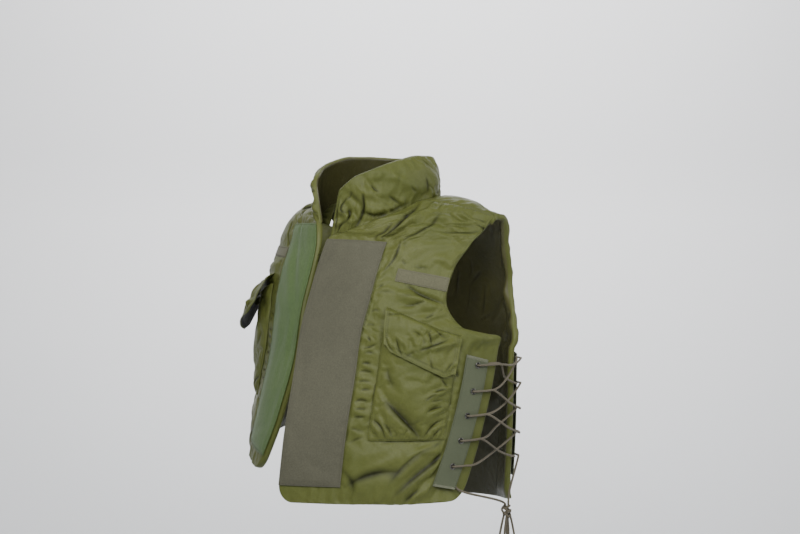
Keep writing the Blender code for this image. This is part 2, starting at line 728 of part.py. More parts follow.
def neck_edge(panel, first_name):
    """The neckline on a panel: the corners of its face's edge, with the way in and the way to the neck."""
    first = panel.rise_of(first_name)
    rises = [rise for rise in panel.row_rises() if rise > first - 1e-6]
    points = [panel.flat_point(0.0, rise) for rise in rises]
    found = []
    for k, rise in enumerate(rises):
        tangent = points[min(k + 1, len(points) - 1)] - points[max(k - 1, 0)]
        way_in = panel.padding(0.0, rise)
        to_neck = way_in.cross(tangent).normalized()
        if to_neck.dot(points[k] - panel.flat_point(0.006, rise)) < 0:
            to_neck.negate()
        found.append((points[k], way_in, to_neck))
    return found


def collar_base(panel, back):
    """One side's neckline from the front end round to the centre back."""
    return neck_edge(panel, "chest_top") + neck_edge(back, "neck_back")[-2::-1]


def at_share(line, share):
    """The row of the neckline at a share of its length."""
    lengths = [0.0]
    for (a, _, _), (b, _, _) in zip(line, line[1:]):
        lengths.append(lengths[-1] + (b - a).length)
    goal = share * lengths[-1]
    k = max(i for i in range(len(line) - 1) if lengths[i] <= goal + 1e-9)
    t = (goal - lengths[k]) / max(lengths[k + 1] - lengths[k], 1e-9)
    return [a.lerp(b, t) for a, b in zip(line[k], line[k + 1])]


def collar_top(share):
    knots = [c.share for c in COLLAR_TOP]
    return Vector([monotone(knots, [c[axis] for c in COLLAR_TOP], share) for axis in (2, 3, 4)])


def collar_point(base_line, side, share, climb):
    """The collar's outer face: climb is 0 at the neckline seam and 1 at the top edge."""
    here, way_in, to_neck = at_share(base_line, share)
    flat = smooth_step(0.35, 0.85, -way_in.z)
    low = here + to_neck * SEAM_GAP + way_in * COLLAR_TUCK * flat
    high = collar_top(share)
    if side < 0:
        high = Vector((-high.x, high.y, high.z)) + RIGHT_END_SHIFT * (1 - smooth_step(0.0, 0.3, share))
    p = low.lerp(high, climb)
    outwards = Vector((p.x, p.y + 0.02, 0)).normalized()
    swell = COLLAR_SWELL * math.sin(math.pi * climb) * smooth_step(0.1, 0.4, share)
    return p + outwards * swell


def collar_way_in(base_line, side, share, climb):
    """The way the collar's padding goes in, square to its outer face."""
    near = 0.03
    s0, s1 = max(share - near, 0.0), min(share + near, 1.0)
    c0, c1 = max(climb - 0.1, 0.0), min(climb + 0.1, 1.0)
    around = collar_point(base_line, side, s1, climb) - collar_point(base_line, side, s0, climb)
    if share == 1:
        around = Vector((-1, 0, 0)) * side
    up = collar_point(base_line, side, share, c1) - collar_point(base_line, side, share, c0)
    return up.cross(around).normalized() * side


def collar(name, left, right, back, back_right, material, collection):
    lines = {1: collar_base(left, back), -1: collar_base(right, back_right)}
    places = [(-1, k / COLLAR_CELLS) for k in range(COLLAR_CELLS)]
    places += [(1, 1 - k / COLLAR_CELLS) for k in range(COLLAR_CELLS + 1)]
    rows = []
    for climb in COLLAR_CLIMBS:
        around = [(lines[side], side, share, climb) for side, share in places]
        rows.append([(collar_point(*place), collar_way_in(*place)) for place in around])
    padded_object(name, [rows], True, COLLAR_THICK, material, collection)


def build():
    remove_everything()
    vest = bpy.data.collections.new("flak_vest")
    cutters = bpy.data.collections.new("cutters")
    for collection in (vest, cutters):
        bpy.context.scene.collection.children.link(collection)

    nylon = make_material("olive_nylon", (0.130, 0.145, 0.040), 0.55)
    grey = make_material("grey_fastener", (0.115, 0.110, 0.085), 0.95)
    green = make_material("green_fastener", (0.110, 0.200, 0.080), 0.95)
    black = make_material("black_tape", (0.010, 0.012, 0.010), 0.9)
    webbing = make_material("lace_webbing", (0.085, 0.110, 0.065), 0.8)
    cord = make_material("lace_cord", (0.120, 0.105, 0.075), 0.85)
    metal = make_material("eyelet_metal", (0.060, 0.062, 0.060), 0.45, 1.0)

    left = Panel(LEFT_SECTIONS, side=1)
    right = Panel(RIGHT_SECTIONS, side=-1)
    back = Panel(BACK_SECTIONS, side=1, outward=-1)
    back_right = Panel(lifted_shoulder(BACK_SECTIONS, RIGHT_SHOULDER_LIFT), side=-1, outward=-1)

    panel_object("left_front", left, FRONT_COLUMNS, nylon, vest)
    panel_object("right_front", right, FRONT_COLUMNS, nylon, vest)
    back_object("back_panel", back, back_right, BACK_COLUMNS, nylon, vest)
    collar("collar", left, right, back, back_right, nylon, vest)
    closure_panel("left_closure_panel", left, grey, vest)
    closure_panel("right_closure_panel", right, green, vest)
    name_tape("left_name_tape", left, 0.150, 0.402, 0.014, grey, vest)
    name_tape("right_name_tape", right, 0.121, 0.392, 0.000, grey, vest)
    pocket("left_pocket", left, LEFT_POCKET_LIFT, nylon, vest)
    pocket("right_pocket", right, RIGHT_POCKET_LIFT, nylon, vest)
    pocket_flap("left_pocket_flap", left, 0.0, LEFT_FLAP_LIFT, nylon, vest)
    pocket_flap("right_pocket_flap", right, FLAP_RAISE, RIGHT_FLAP_LIFT, nylon, vest)
    flap_tape("right_flap_tape", right, FLAP_RAISE, RIGHT_FLAP_LIFT, black, vest)

    ring = eyelet_mesh(metal)
    strips = [
        ("left_front", left, FRONT_STRIP_RISE),
        ("left_back", back, BACK_STRIP_RISE),
        ("right_front", right, FRONT_STRIP_RISE),
        ("right_back", back_right, BACK_STRIP_RISE),
    ]
    for prefix, panel, bottom in strips:
        lace_strip(prefix + "_lace_strip", panel, bottom, webbing, vest, cutters)
        eyelets(prefix, panel, bottom, ring, vest)

    left_lacing = Lacing(left, FRONT_STRIP_RISE, back, BACK_STRIP_RISE)
    right_lacing = Lacing(right, FRONT_STRIP_RISE, back_right, BACK_STRIP_RISE)
    tube("left_lace", lace_points(left_lacing, LEFT_KNOT, 1), LACE_DIAMETER, cord, vest)
    tube("right_lace", lace_points(right_lacing, RIGHT_KNOT, -1), LACE_DIAMETER, cord, vest)
    bow("left_bow", LEFT_KNOT, 1, cord, vest, cutters)
    bow("right_bow", RIGHT_KNOT, -1, cord, vest, cutters)


build()
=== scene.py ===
"""The looks of the flak vest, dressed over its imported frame."""

import math
from collections import namedtuple

import bmesh
import bpy
import numpy as np
from mathutils import Matrix, Vector
from mathutils.bvhtree import BVHTree


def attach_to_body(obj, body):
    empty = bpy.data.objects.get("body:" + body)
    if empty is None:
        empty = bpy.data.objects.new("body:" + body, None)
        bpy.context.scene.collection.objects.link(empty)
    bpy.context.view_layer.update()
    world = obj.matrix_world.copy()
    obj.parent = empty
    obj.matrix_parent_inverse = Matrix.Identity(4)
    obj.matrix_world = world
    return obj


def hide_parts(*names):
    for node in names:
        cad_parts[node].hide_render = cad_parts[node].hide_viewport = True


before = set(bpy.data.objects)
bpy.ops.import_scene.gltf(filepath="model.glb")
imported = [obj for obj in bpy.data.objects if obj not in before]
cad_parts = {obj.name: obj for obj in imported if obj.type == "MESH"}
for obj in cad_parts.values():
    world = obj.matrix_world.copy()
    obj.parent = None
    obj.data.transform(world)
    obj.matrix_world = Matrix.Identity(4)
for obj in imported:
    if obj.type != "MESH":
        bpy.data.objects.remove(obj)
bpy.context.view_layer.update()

random = np.random.default_rng(7)

# Camera, as the photograph was taken
VIEW_AZIMUTH = math.radians(43)
VIEW_DISTANCE = 2.9
VIEW_HEIGHT = 0.0128
VIEW_PITCH = math.radians(2.84)
VIEW_YAW = math.radians(0.553)
LENS = 70

# The floor and the backdrop that it curves up into
FLOOR_HEIGHT = -1.05
BACKDROP_REACH = 3.0
BACKDROP_BEND = 1.2

# Driving sizes, in metres, as in the CAD part
PANEL_THICK = 0.013
COLLAR_THICK = 0.011
CORNER_RADIUS = 0.030
RIM = 0.0034
LEFT_CELL = 0.0048
RIGHT_CELL = 0.0062
BACK_CELL = 0.0072

CLOSURE_WIDTH = 0.115
CLOSURE_INSET = 0.003
CLOSURE_BELOW_NECK = 0.006
CLOSURE_ABOVE_HEM = 0.030
CLOSURE_LIFT = 0.0006
TAPE_THICK = 0.0016

POCKET_FROM_EDGE = 0.154
POCKET_WIDTH = 0.133
POCKET_ABOVE_HEM = 0.112
POCKET_INNER_HEIGHT = 0.224
POCKET_OUTER_HEIGHT = 0.167
POCKET_BULGE = 0.015
MOUTH_GAP = 0.011
FLAP_HEIGHT = 0.081
FLAP_WIDTH = POCKET_WIDTH * 1.05
FLAP_ABOVE_MOUTH = 0.016
FLAP_CLEAR = 0.0024
FLAP_RAISE = 0.026
FLAP_TAPER = 0.09
FLAP_LIFT = 0.0008
FLAP_STAND_OFF = 0.0022
CLOTH_THICK = 0.0014

NAME_TAPE_LENGTH = 0.095
NAME_TAPE_HEIGHT = 0.022

LACE_STRIP_WIDTH = 0.046
LACE_STRIP_LENGTH = 0.228
LACE_STRIP_FROM_EDGE = 0.031
LACE_STRIP_SLANT = 0.010
LACE_STRIP_LIFT = 0.0018
FRONT_STRIP_RISE = 0.026
BACK_STRIP_RISE = 0.050
LACE_RECESS = 0.0062
RECESS_BELOW_ARM = 0.014
EYELET_COUNT = 5
EYELET_PITCH = 0.0448
FIRST_EYELET_DROP = 0.0120
EYELET_BORE = 0.0032
EYELET_BARREL = 0.0040
EYELET_FLANGE = 0.0057
EYELET_HOLE = 0.0044
LACE_DIAMETER = 0.004
LACE_SAG = Vector((0, 0, -0.006))
LEFT_KNOT = Vector((0.262, 0.038, -0.560))
RIGHT_KNOT = Vector((-0.264, 0.060, -0.506))

COLLAR_TUCK = 0.005
COLLAR_OVERLAP = 0.006
COLLAR_SWELL = 0.006
BEZIER_FULLNESS = 0.37
SEAM_BLEND = 0.045
SEAM_GAP = 0.0006

# How unevenly the padding lies, and how far the simulation may move a shell or a pocket
UNEVEN = 0.0002
CLOTH_FRAMES = 16
SHELL_CAP = 0.0055
POCKET_CAP = 0.0035

# The depth of a crease at full painted shade, and the painted shade on the lining below the given heights,
# where the inside of the vest lies in shadow
FULL_SHADE = 0.0026
LINING_PAINTED_SHADE = 0.0024
LINING_DARKENS = (0.24, 0.42)

# Seams and stitching
STITCH_INSET = 0.007
SEAM_SHADOW = 0.0012

# The sections of a padded panel's outer face, from the hem up, from its inner edge to its outer edge.
# The turns are the directions in plan at both ends, in degrees, and arch is how far the middle rises.
Section = namedtuple("Section", "name x_in y_in z_in x_out y_out z_out turn_in turn_out arch")

LEFT_SECTIONS = [
    Section("hem", 0.000, -0.281, -0.532, 0.246, -0.058, -0.528, 27, 75, 0),
    Section("belly", 0.000, -0.264, -0.420, 0.253, -0.012, -0.418, 28, 80, 0),
    Section("waist", 0.000, -0.237, -0.300, 0.257, 0.023, -0.301, 28, 83, 0),
    Section("side_top", 0.000, -0.228, -0.256, 0.257, 0.033, -0.250, 27, 83, 0),
    Section("arm_low", 0.000, -0.218, -0.220, 0.228, -0.041, -0.228, 26, 62, 0),
    Section("arm_front", 0.000, -0.198, -0.168, 0.203, -0.057, -0.180, 24, 50, 0),
    Section("arm_mid", 0.000, -0.176, -0.116, 0.205, -0.037, -0.122, 22, 45, 0),
    Section("chest_top", 0.000, -0.152, -0.072, 0.214, -0.008, -0.087, 20, 48, 0.002),
    Section("neck_front", 0.030, -0.138, -0.059, 0.219, -0.001, -0.076, 22, 46, 0.003),
    Section("neck_corner", 0.067, -0.112, -0.041, 0.225, 0.009, -0.065, 24, 44, 0.005),
    Section("neck_side", 0.092, -0.064, -0.023, 0.230, 0.022, -0.050, 25, 36, 0.007),
    Section("shoulder", 0.099, -0.030, -0.009, 0.234, 0.030, -0.039, 20, 26, 0.007),
    Section("seam", 0.100, -0.012, -0.004, 0.236, 0.036, -0.033, 15, 20, 0.006),
]
RIGHT_SECTIONS = [
    Section("hem", 0.062, -0.265, -0.487, 0.268, 0.002, -0.452, 26, 78, 0),
    Section("belly", 0.024, -0.246, -0.380, 0.276, 0.006, -0.345, 20, 80, 0),
    Section("waist", 0.006, -0.222, -0.268, 0.276, 0.016, -0.245, 17, 82, 0),
    Section("side_top", 0.007, -0.213, -0.226, 0.274, 0.022, -0.200, 16, 82, 0),
    Section("arm_low", 0.009, -0.203, -0.192, 0.248, -0.046, -0.178, 16, 62, 0),
    Section("arm_front", 0.010, -0.184, -0.142, 0.229, -0.063, -0.135, 17, 58, 0),
    Section("arm_mid", 0.014, -0.164, -0.092, 0.229, -0.050, -0.092, 20, 50, 0),
    Section("chest_top", 0.030, -0.147, -0.045, 0.229, -0.036, -0.058, 26, 42, 0.003),
    Section("neck_front", 0.047, -0.134, -0.038, 0.229, -0.026, -0.049, 27, 40, 0.005),
    Section("neck_corner", 0.074, -0.108, -0.031, 0.230, -0.009, -0.040, 27, 38, 0.007),
    Section("neck_side", 0.093, -0.064, -0.020, 0.232, 0.013, -0.031, 25, 32, 0.008),
    Section("shoulder", 0.099, -0.030, -0.009, 0.232, 0.028, -0.025, 19, 24, 0.007),
    Section("seam", 0.100, -0.012, -0.004, 0.236, 0.036, -0.021, 15, 20, 0.006),
]
BACK_SECTIONS = [
    Section("hem", 0.000, 0.154, -0.572, 0.235, 0.090, -0.553, 0, -48, 0),
    Section("mid", 0.000, 0.156, -0.425, 0.238, 0.095, -0.414, 0, -52, 0),
    Section("side_top", 0.000, 0.154, -0.275, 0.238, 0.100, -0.262, 0, -50, 0),
    Section("arm_low", 0.000, 0.152, -0.225, 0.224, 0.114, -0.215, 0, -40, 0),
    Section("arm_mid", 0.000, 0.146, -0.160, 0.212, 0.120, -0.150, 0, -35, 0),
    Section("arm_up", 0.000, 0.134, -0.092, 0.216, 0.106, -0.090, 0, -30, 0),
    Section("shoulder_back", 0.000, 0.113, -0.034, 0.230, 0.084, -0.048, 0, -25, 0.003),
    Section("neck_back", 0.000, 0.090, -0.001, 0.235, 0.072, -0.036, 0, -18, 0.005),
    Section("neck_diag", 0.054, 0.080, 0.003, 0.237, 0.060, -0.032, -6, -8, 0.006),
    Section("neck_side", 0.090, 0.044, 0.003, 0.237, 0.048, -0.031, 4, 6, 0.006),
    Section("seam", 0.100, -0.0114, -0.004, 0.236, 0.0366, -0.033, 15, 20, 0.006),
]
RIGHT_SHOULDER_LIFT = 0.012

CollarTop = namedtuple("CollarTop", "name share x y z")
COLLAR_TOP = [
    CollarTop("front_end", 0.00, 0.024, -0.1475, 0.012),
    CollarTop("front", 0.16, 0.048, -0.130, 0.038),
    CollarTop("corner", 0.32, 0.073, -0.104, 0.053),
    CollarTop("side", 0.50, 0.087, -0.056, 0.069),
    CollarTop("shoulder", 0.66, 0.090, -0.004, 0.078),
    CollarTop("back_side", 0.80, 0.079, 0.042, 0.078),
    CollarTop("back_diag", 0.90, 0.048, 0.070, 0.076),
    CollarTop("back", 1.00, 0.000, 0.080, 0.074),
]
RIGHT_END_SHIFT = np.array((-0.024, 0.004, 0.004))

# Runs of the lace between eyelets: F is the front strip, B the back strip, 1 the top eyelet; over the
# strip is +1 and under it is -1.
Run = namedtuple("Run", "start start_level end end_level bow")
LACE_RUNS = [
    Run("B5", -1, "F4", 1, 0.004),
    Run("F4", -1, "B3", -1, -0.007),
    Run("B3", 1, "F2", 1, 0.007),
    Run("F2", -1, "B1", -1, 0.003),
    Run("B1", 1, "F1", 1, 0.007),
    Run("F1", -1, "B2", -1, -0.007),
    Run("B2", 1, "F3", -1, 0.003),
    Run("F3", 1, "B4", 1, 0.009),
    Run("B4", -1, "F5", 1, -0.003),
]


# Shapes


def smooth_step(low, high, at):
    t = np.clip((at - low) / (high - low), 0.0, 1.0)
    return t * t * (3 - 2 * t)


def unit(vectors):
    return vectors / np.maximum(np.linalg.norm(vectors, axis=-1, keepdims=True), 1e-12)


def distances(line):
    """The way along a line of points from its start to each of them."""
    return np.concatenate([[0], np.cumsum(np.linalg.norm(np.diff(line, axis=0), axis=1))])


def monotone(knots, values, at):
    """Smooth interpolation without overshoot through the knots."""
    knots, values, at = np.asarray(knots), np.asarray(values), np.asarray(at, float)
    slopes = np.diff(values) / np.diff(knots)
    before, after = slopes[:-1], slopes[1:]
    same_way = before * after > 0
    total = np.where(same_way, before + after, 1.0)
    inner = np.where(same_way, 2 * before * after / total, 0.0)
    tangents = np.concatenate([slopes[:1], inner, slopes[-1:]])
    k = np.clip(np.searchsorted(knots, at, side="right") - 1, 0, len(knots) - 2)
    span = knots[k + 1] - knots[k]
    t = np.clip((at - knots[k]) / span, 0, 1)
    return (
        (2 * t**3 - 3 * t**2 + 1) * values[k]
        + (t**3 - 2 * t**2 + t) * span * tangents[k]
        + (3 * t**2 - 2 * t**3) * values[k + 1]
        + (t**3 - t**2) * span * tangents[k + 1]
    )


class Panel:
    """The face of a padded panel as a dense table of points, read by along, the distance from the inner
    edge on a section, and rise, the distance up the inner edge from the hem."""

    ROWS, SHARES, STEPS = 240, 160, 60

    def __init__(self, sections, side=1, outward=1):
        self.side, self.outward = side, outward
        self.names = [s.name for s in sections]
        columns = np.array([s[1:] for s in sections], float)
        self.knots = distances(columns[:, :3])
        self.top = self.knots[-1]
        self.steps = np.linspace(0, self.top, self.ROWS)
        rows = np.stack([monotone(self.knots, c, self.steps) for c in columns.T], axis=1)
        shares = np.linspace(0, 1, self.SHARES)
        self.points = np.empty((self.ROWS, self.SHARES, 3))
        self.widths = np.empty(self.ROWS)
        for k, row in enumerate(rows):
            line = self.bezier(row)
            lengths = distances(line)
            self.widths[k] = lengths[-1]
            for axis in range(3):
                self.points[k, :, axis] = np.interp(shares * lengths[-1], lengths, line[:, axis])
        self.points[:, :, 0] *= side
        up, across = np.gradient(self.points, axis=(0, 1))
        self.normals = unit(np.cross(across, up)) * side * outward

    def bezier(self, row):
        start, end = row[0:3], row[3:6]
        reach = np.linalg.norm((end - start)[:2]) * BEZIER_FULLNESS
        third = (end - start)[2] / 3
        turn_in, turn_out = np.radians(row[6:8])
        first = start + np.array((math.cos(turn_in) * reach, math.sin(turn_in) * reach, third))
        last = end - np.array((math.cos(turn_out) * reach, math.sin(turn_out) * reach, third))
        t = np.linspace(0, 1, self.STEPS)[:, None]
        line = (1 - t) ** 3 * start + 3 * t * (1 - t) ** 2 * first + 3 * t * t * (1 - t) * last + t**3 * end
        line[:, 2] += row[8] * np.sin(math.pi * t[:, 0])
        return line

    def rise_of(self, name):
        return self.knots[self.names.index(name)]

    def width(self, rise):
        return np.interp(rise, self.steps, self.widths)

    def look_up(self, table, along, rise):
        along, rise = np.broadcast_arrays(np.asarray(along, float), np.asarray(rise, float))
        share = along / self.width(rise) * (self.SHARES - 1)
        row = np.clip(rise / self.top, 0, 1) * (self.ROWS - 1)
        i = np.clip(np.floor(share).astype(int), 0, self.SHARES - 2)
        j = np.clip(np.floor(row).astype(int), 0, self.ROWS - 2)
        s, t = (share - i)[..., None], (row - j)[..., None]
        low = table[j, i] * (1 - s) + table[j, i + 1] * s
        high = table[j + 1, i] * (1 - s) + table[j + 1, i + 1] * s
        return low * (1 - t) + high * t

    def normal(self, along, rise):
        return unit(self.look_up(self.normals, along, rise))

    def over(self, along, rise, lift=0.0):
        """Points above the face, by lift along its normal."""
        raised = np.asarray(lift, float)[..., None] * self.normal(along, rise)
        return self.look_up(self.points, along, rise) + raised

    def recess(self, along, rise):
        """The padding is thinner under the lacing strip, where the cord runs behind it."""
        from_edge = self.width(rise) - along
        beside = 1 - smooth_step(0.062, 0.076, from_edge)
        top = self.rise_of("side_top")
        below_arm = 1 - smooth_step(top - RECESS_BELOW_ARM, top, rise)
        return LACE_RECESS * beside * below_arm * smooth_step(0.0, 0.022, rise)

    def padding(self, along, rise):
        """The way the padding goes in from the face, straight down at the shoulder seam."""
        at_seam = smooth_step(self.top - SEAM_BLEND, self.top, np.asarray(rise))[..., None]
        return unit(-self.normal(along, rise) * (1 - at_seam) + np.array((0, 0, -1.0)) * at_seam)


# A grid of points on a face: their places, the ways in through the padding, and (along, rise).
Grid = namedtuple("Grid", "points ways along rise")


def corner_inset(rise):
    """How far the rounded hem corners stand in from the straight edges."""
    down = np.clip(CORNER_RADIUS - rise, 0, CORNER_RADIUS)
    return CORNER_RADIUS - np.sqrt(CORNER_RADIUS**2 - down**2)


def panel_grid(panel, cell, centre_is_edge=True):
    """The panel's face in cells of about the given size, finer round the hem corners."""
    near_hem = np.array((0.0, 0.0012, 0.0035, 0.007, 0.0115, 0.017, 0.0235))
    rises = np.concatenate([near_hem, np.linspace(0.030, panel.top, round((panel.top - 0.03) / cell))])
    count = round(panel.widths.max() / cell)
    start = corner_inset(rises) if centre_is_edge else np.zeros(len(rises))
    end = panel.width(rises) - corner_inset(rises)
    share = np.linspace(0, 1, count + 1)[None, :]
    along = start[:, None] + (end - start)[:, None] * share
    rise = np.broadcast_to(rises[:, None], along.shape)
    points = panel.over(along, rise, -panel.recess(along, rise))
    return Grid(points, panel.padding(along, rise), along, rise)


def grid_quads(ids):
    return [
        (ids[j, i], ids[j, i + 1], ids[j + 1, i + 1], ids[j + 1, i])
        for j in range(ids.shape[0] - 1)
        for i in range(ids.shape[1] - 1)
    ]


def add_object(name, data):
    made = bpy.data.objects.new(name, data)
    bpy.context.scene.collection.objects.link(made)
    return made


def new_piece(name, points, faces, material):
    mesh = bpy.data.meshes.new(name)
    mesh.from_pydata([tuple(p) for p in np.asarray(points)], [], [tuple(int(k) for k in f) for f in faces])
    mesh.materials.append(material)
    mesh.polygons.foreach_set("use_smooth", [True] * len(mesh.polygons))
    mesh.update()
    return add_object(name, mesh)


class Shell:
    """A padded body: its outer face, rim and lining in one closed mesh."""

    def __init__(self, name, grids, thickness, flip, material, lining):
        index, points, ways, places, quads = {}, [], [], [], []
        for grid in grids:
            ids = np.empty(grid.along.shape, int)
            for j, i in np.ndindex(*ids.shape):
                key = tuple(np.round(grid.points[j, i], 5))
                if key not in index:
                    index[key] = len(points)
                    points.append(grid.points[j, i])
                    ways.append(grid.ways[j, i])
                    places.append((grid.along[j, i], grid.rise[j, i]))
                ids[j, i] = index[key]
            quads += grid_quads(ids)
        if flip:
            quads = [q[::-1] for q in quads]
        self.count = len(points)
        self.outer = np.array(points)
        self.ways = np.array(ways)
        sides = {(a, b) for q in quads for a, b in zip(q, q[1:] + q[:1])}
        border = [(a, b) for a, b in sides if (b, a) not in sides]
        self.border = sorted({a for a, _ in border})
        reach = self.reach(quads)
        middle = {a: self.count * 2 + k for k, a in enumerate(self.border)}
        outer, inner = self.outer.copy(), self.outer + self.ways * thickness
        rim = np.array([self.outer[a] + self.ways[a] * thickness / 2 for a in self.border])
        for a in self.border:
            outer[a] += self.ways[a] * RIM * 0.6 - reach[a] * RIM
            inner[a] -= self.ways[a] * RIM * 0.6 + reach[a] * RIM
        faces = list(quads)
        faces += [tuple(k + self.count for k in q[::-1]) for q in quads]
        for a, b in border:
            faces.append((b, a, middle[a], middle[b]))
            faces.append((middle[b], middle[a], a + self.count, b + self.count))
        self.piece = new_piece(name, np.concatenate([outer, inner, rim]), faces, material)
        self.piece.data.materials.append(lining)
        for k in range(len(quads), 2 * len(quads)):
            self.piece.data.polygons[k].material_index = 1
        self.along, self.rise = np.array(places).T

    def reach(self, quads):
        """At each border vertex, the way out of the face towards its edge."""
        out = np.zeros((self.count, 3))
        on_border = np.zeros(self.count, bool)
        on_border[self.border] = True
        for q in quads:
            inside = [k for k in q if not on_border[k]] or [q[0], q[1], q[2], q[3]]
            middle = self.outer[inside].mean(axis=0)
            for k in q:
                if on_border[k]:
                    out[k] += self.outer[k] - middle
        return unit(out)

    def remember(self, open_cloth):
        """Notes each vertex's place, and where sharp creases may come: 1 outside, -1 on the lining."""
        outer = np.zeros(len(self.piece.data.vertices))
        outer[: self.count] = open_cloth
        outer[self.count : 2 * self.count] = -self.inside_border()
        borders = [self.along[self.border], self.rise[self.border]]
        along, rise = (np.concatenate([c, c, b]) for c, b in zip((self.along, self.rise), borders))
        remember_places(self.piece, along, rise, outer)
        lay_cloth_map(self.piece, along, rise)

    def inside_border(self):
        """One at each outer vertex, and nought at the border's."""
        inside = np.ones(self.count)
        inside[self.border] = 0.0
        return inside

    def shift(self, distance, lining=False):
        """Moves the outer face or the lining outwards by one distance per vertex."""
        points = vertex_points(self.piece.data)
        first = self.count if lining else 0
        points[first : first + self.count] -= self.ways * distance[:, None]
        move_vertices(self.piece.data, points)


def vertex_points(mesh):
    points = np.empty(len(mesh.vertices) * 3)
    mesh.vertices.foreach_get("co", points)
    return points.reshape(-1, 3)


def move_vertices(mesh, points):
    mesh.vertices.foreach_set("co", points.ravel())
    mesh.update()


# Folds: ridges in the cloth, from one place on a panel to another, in (along, rise).
# bow bends the ridge sideways, and a negative height is a valley.
Fold = namedtuple("Fold", "along_0 rise_0 along_1 rise_1 bow height width")


def folds_of(*rows):
    """Folds from rows of their seven values, in tenths of a millimetre."""
    return [Fold(*(value / 10000 for value in row)) for row in rows]


def on_side(folds, side, span=1):
    """The folds on one side of the middle, with their places across multiplied by span."""
    return [fold._replace(along_0=side * span * fold.along_0, along_1=side * span * fold.along_1,
                          bow=side * fold.bow) for fold in folds]


def soft_ridge(across):
    return np.exp(-(across**2)) - 0.45 * np.exp(-((across + 1.5) ** 2)) - 0.2 * np.exp(-((across - 1.8) ** 2))


def sunk_line(distance, at, width):
    """One along the line at a distance, and nought away from it."""
    return np.exp(-(((distance - at) / width) ** 2))


def sharp_crease(across):
    lips = np.exp(-((across + 1.7) ** 2)) + 0.5 * np.exp(-((across - 1.7) ** 2))
    return np.exp(-1.5 * np.abs(across)) - 0.28 * lips


def fold_relief(folds, along, rise, profile=soft_ridge):
    """How far the folds raise the cloth at each place."""
    places = np.stack([along.ravel(), rise.ravel()], axis=-1)
    relief = np.zeros(len(places))
    for fold in folds:
        start, end = np.array(fold[0:2]), np.array(fold[2:4])
        square = np.array((start[1] - end[1], end[0] - start[0]))
        middle = (start + end) / 2 + fold.bow * square / max(np.linalg.norm(square), 1e-9)
        t = np.linspace(0, 1, 13)[:, None]
        line = (1 - t) ** 2 * start + 2 * t * (1 - t) * middle + t * t * end
        reach = 3.6 * fold.width
        near = np.all((places > line.min(axis=0) - reach) & (places < line.max(axis=0) + reach), axis=1)
        if not near.any():
            continue
        here = places[near]
        best, side, where = np.full(len(here), 1e9), np.zeros(len(here)), np.zeros(len(here))
        for k in range(12):
            step = line[k + 1] - line[k]
            s = np.clip((here - line[k]) @ step / (step @ step), 0, 1)
            off = here - line[k] - s[:, None] * step
            distance = np.linalg.norm(off, axis=1)
            closer = distance < best
            best = np.where(closer, distance, best)
            side = np.where(closer, np.sign(step[0] * off[:, 1] - step[1] * off[:, 0]), side)
            where = np.where(closer, (k + s) / 12, where)
        across = best * side / fold.width
        fade = np.sin(math.pi * np.clip(where, 0.02, 0.98)) ** 0.7
        relief[near] += fold.height * fade * profile(across)
    return relief.reshape(along.shape)


def puckers(start, end, way, count, length, height, width=0.0045):
    """Short folds that run off a seam. way is their direction, as (along, rise), and they vary a little."""
    start, end, way = np.array(start), np.array(end), np.array(way, float)
    found = []
    for k in range(count):
        share = (k + 0.5 + random.uniform(-0.3, 0.3)) / count
        root = start + (end - start) * share
        reach = length * random.uniform(0.5, 1.2)
        tip = root + (way + random.uniform(-0.25, 0.25, 2)) * reach
        bow = random.uniform(-0.1, 0.1) * reach
        found.append(Fold(*root, *tip, bow, height * random.uniform(0.5, 1.1), width))
    return found


def rumples(low, high, count, length, height, width, lean=0.0):
    """Loose soft folds scattered over a stretch of cloth, about a direction of lean radians."""
    found = []
    for _ in range(count):
        start = random.uniform(low, high)
        turn = lean + random.normal(0, 0.45)
        reach = length * random.uniform(0.5, 1.3)
        end = start + reach * np.array((math.cos(turn), math.sin(turn)))
        size = random.uniform(0.6, 1.2)
        found.append(Fold(*start, *end, random.uniform(-0.15, 0.15) * reach, height * size, width * size))
    return found


# Cloth simulation


def make_loose(piece, held, pressure, growth):
    """Gives a piece a cloth modifier: it grows by growth and swells, and its held vertices stay."""
    group = piece.vertex_groups.new(name="held")
    group.add([int(k) for k in np.flatnonzero(held)], 1.0, "REPLACE")
    cloth = piece.modifiers.new("Puff", "CLOTH")
    settings = cloth.settings
    settings.quality = 4
    settings.mass = 0.12
    settings.air_damping = 2
    settings.tension_stiffness = 14
    settings.compression_stiffness = 14
    settings.shear_stiffness = 5
    settings.bending_stiffness = 0.35
    settings.vertex_group_mass = "held"
    settings.shrink_min = -growth
    settings.shrink_max = -growth
    settings.use_pressure = True
    settings.uniform_pressure_force = pressure
    settings.effector_weights.gravity = 0
    cloth.collision_settings.use_collision = False
    cloth.point_cache.frame_start = 1
    cloth.point_cache.frame_end = CLOTH_FRAMES


def settle(pieces):
    """Runs the simulation of every loose piece at once and keeps its result, up to a cap."""
    for k in range(1, CLOTH_FRAMES + 1):
        bpy.context.scene.frame_set(k)
    depsgraph = bpy.context.evaluated_depsgraph_get()
    results = {}
    for piece, _ in pieces:
        results[piece.name] = vertex_points(piece.evaluated_get(depsgraph).data)
    for piece, cap in pieces:
        start = vertex_points(piece.data)
        moved = results[piece.name] - start
        length = np.maximum(np.linalg.norm(moved, axis=1, keepdims=True), 1e-9)
        piece.modifiers.remove(piece.modifiers["Puff"])
        move_vertices(piece.data, start + moved * (cap * np.tanh(length / cap) / length))
    bpy.context.scene.frame_set(1)


def lay_cloth_map(piece, along, rise):
    """A UV map in metres of cloth, for the weave."""
    layer = piece.data.uv_layers.new(name="cloth")
    index = np.empty(len(piece.data.loops), int)
    piece.data.loops.foreach_get("vertex_index", index)
    layer.data.foreach_set("uv", np.stack([along[index], rise[index]], axis=1).ravel())


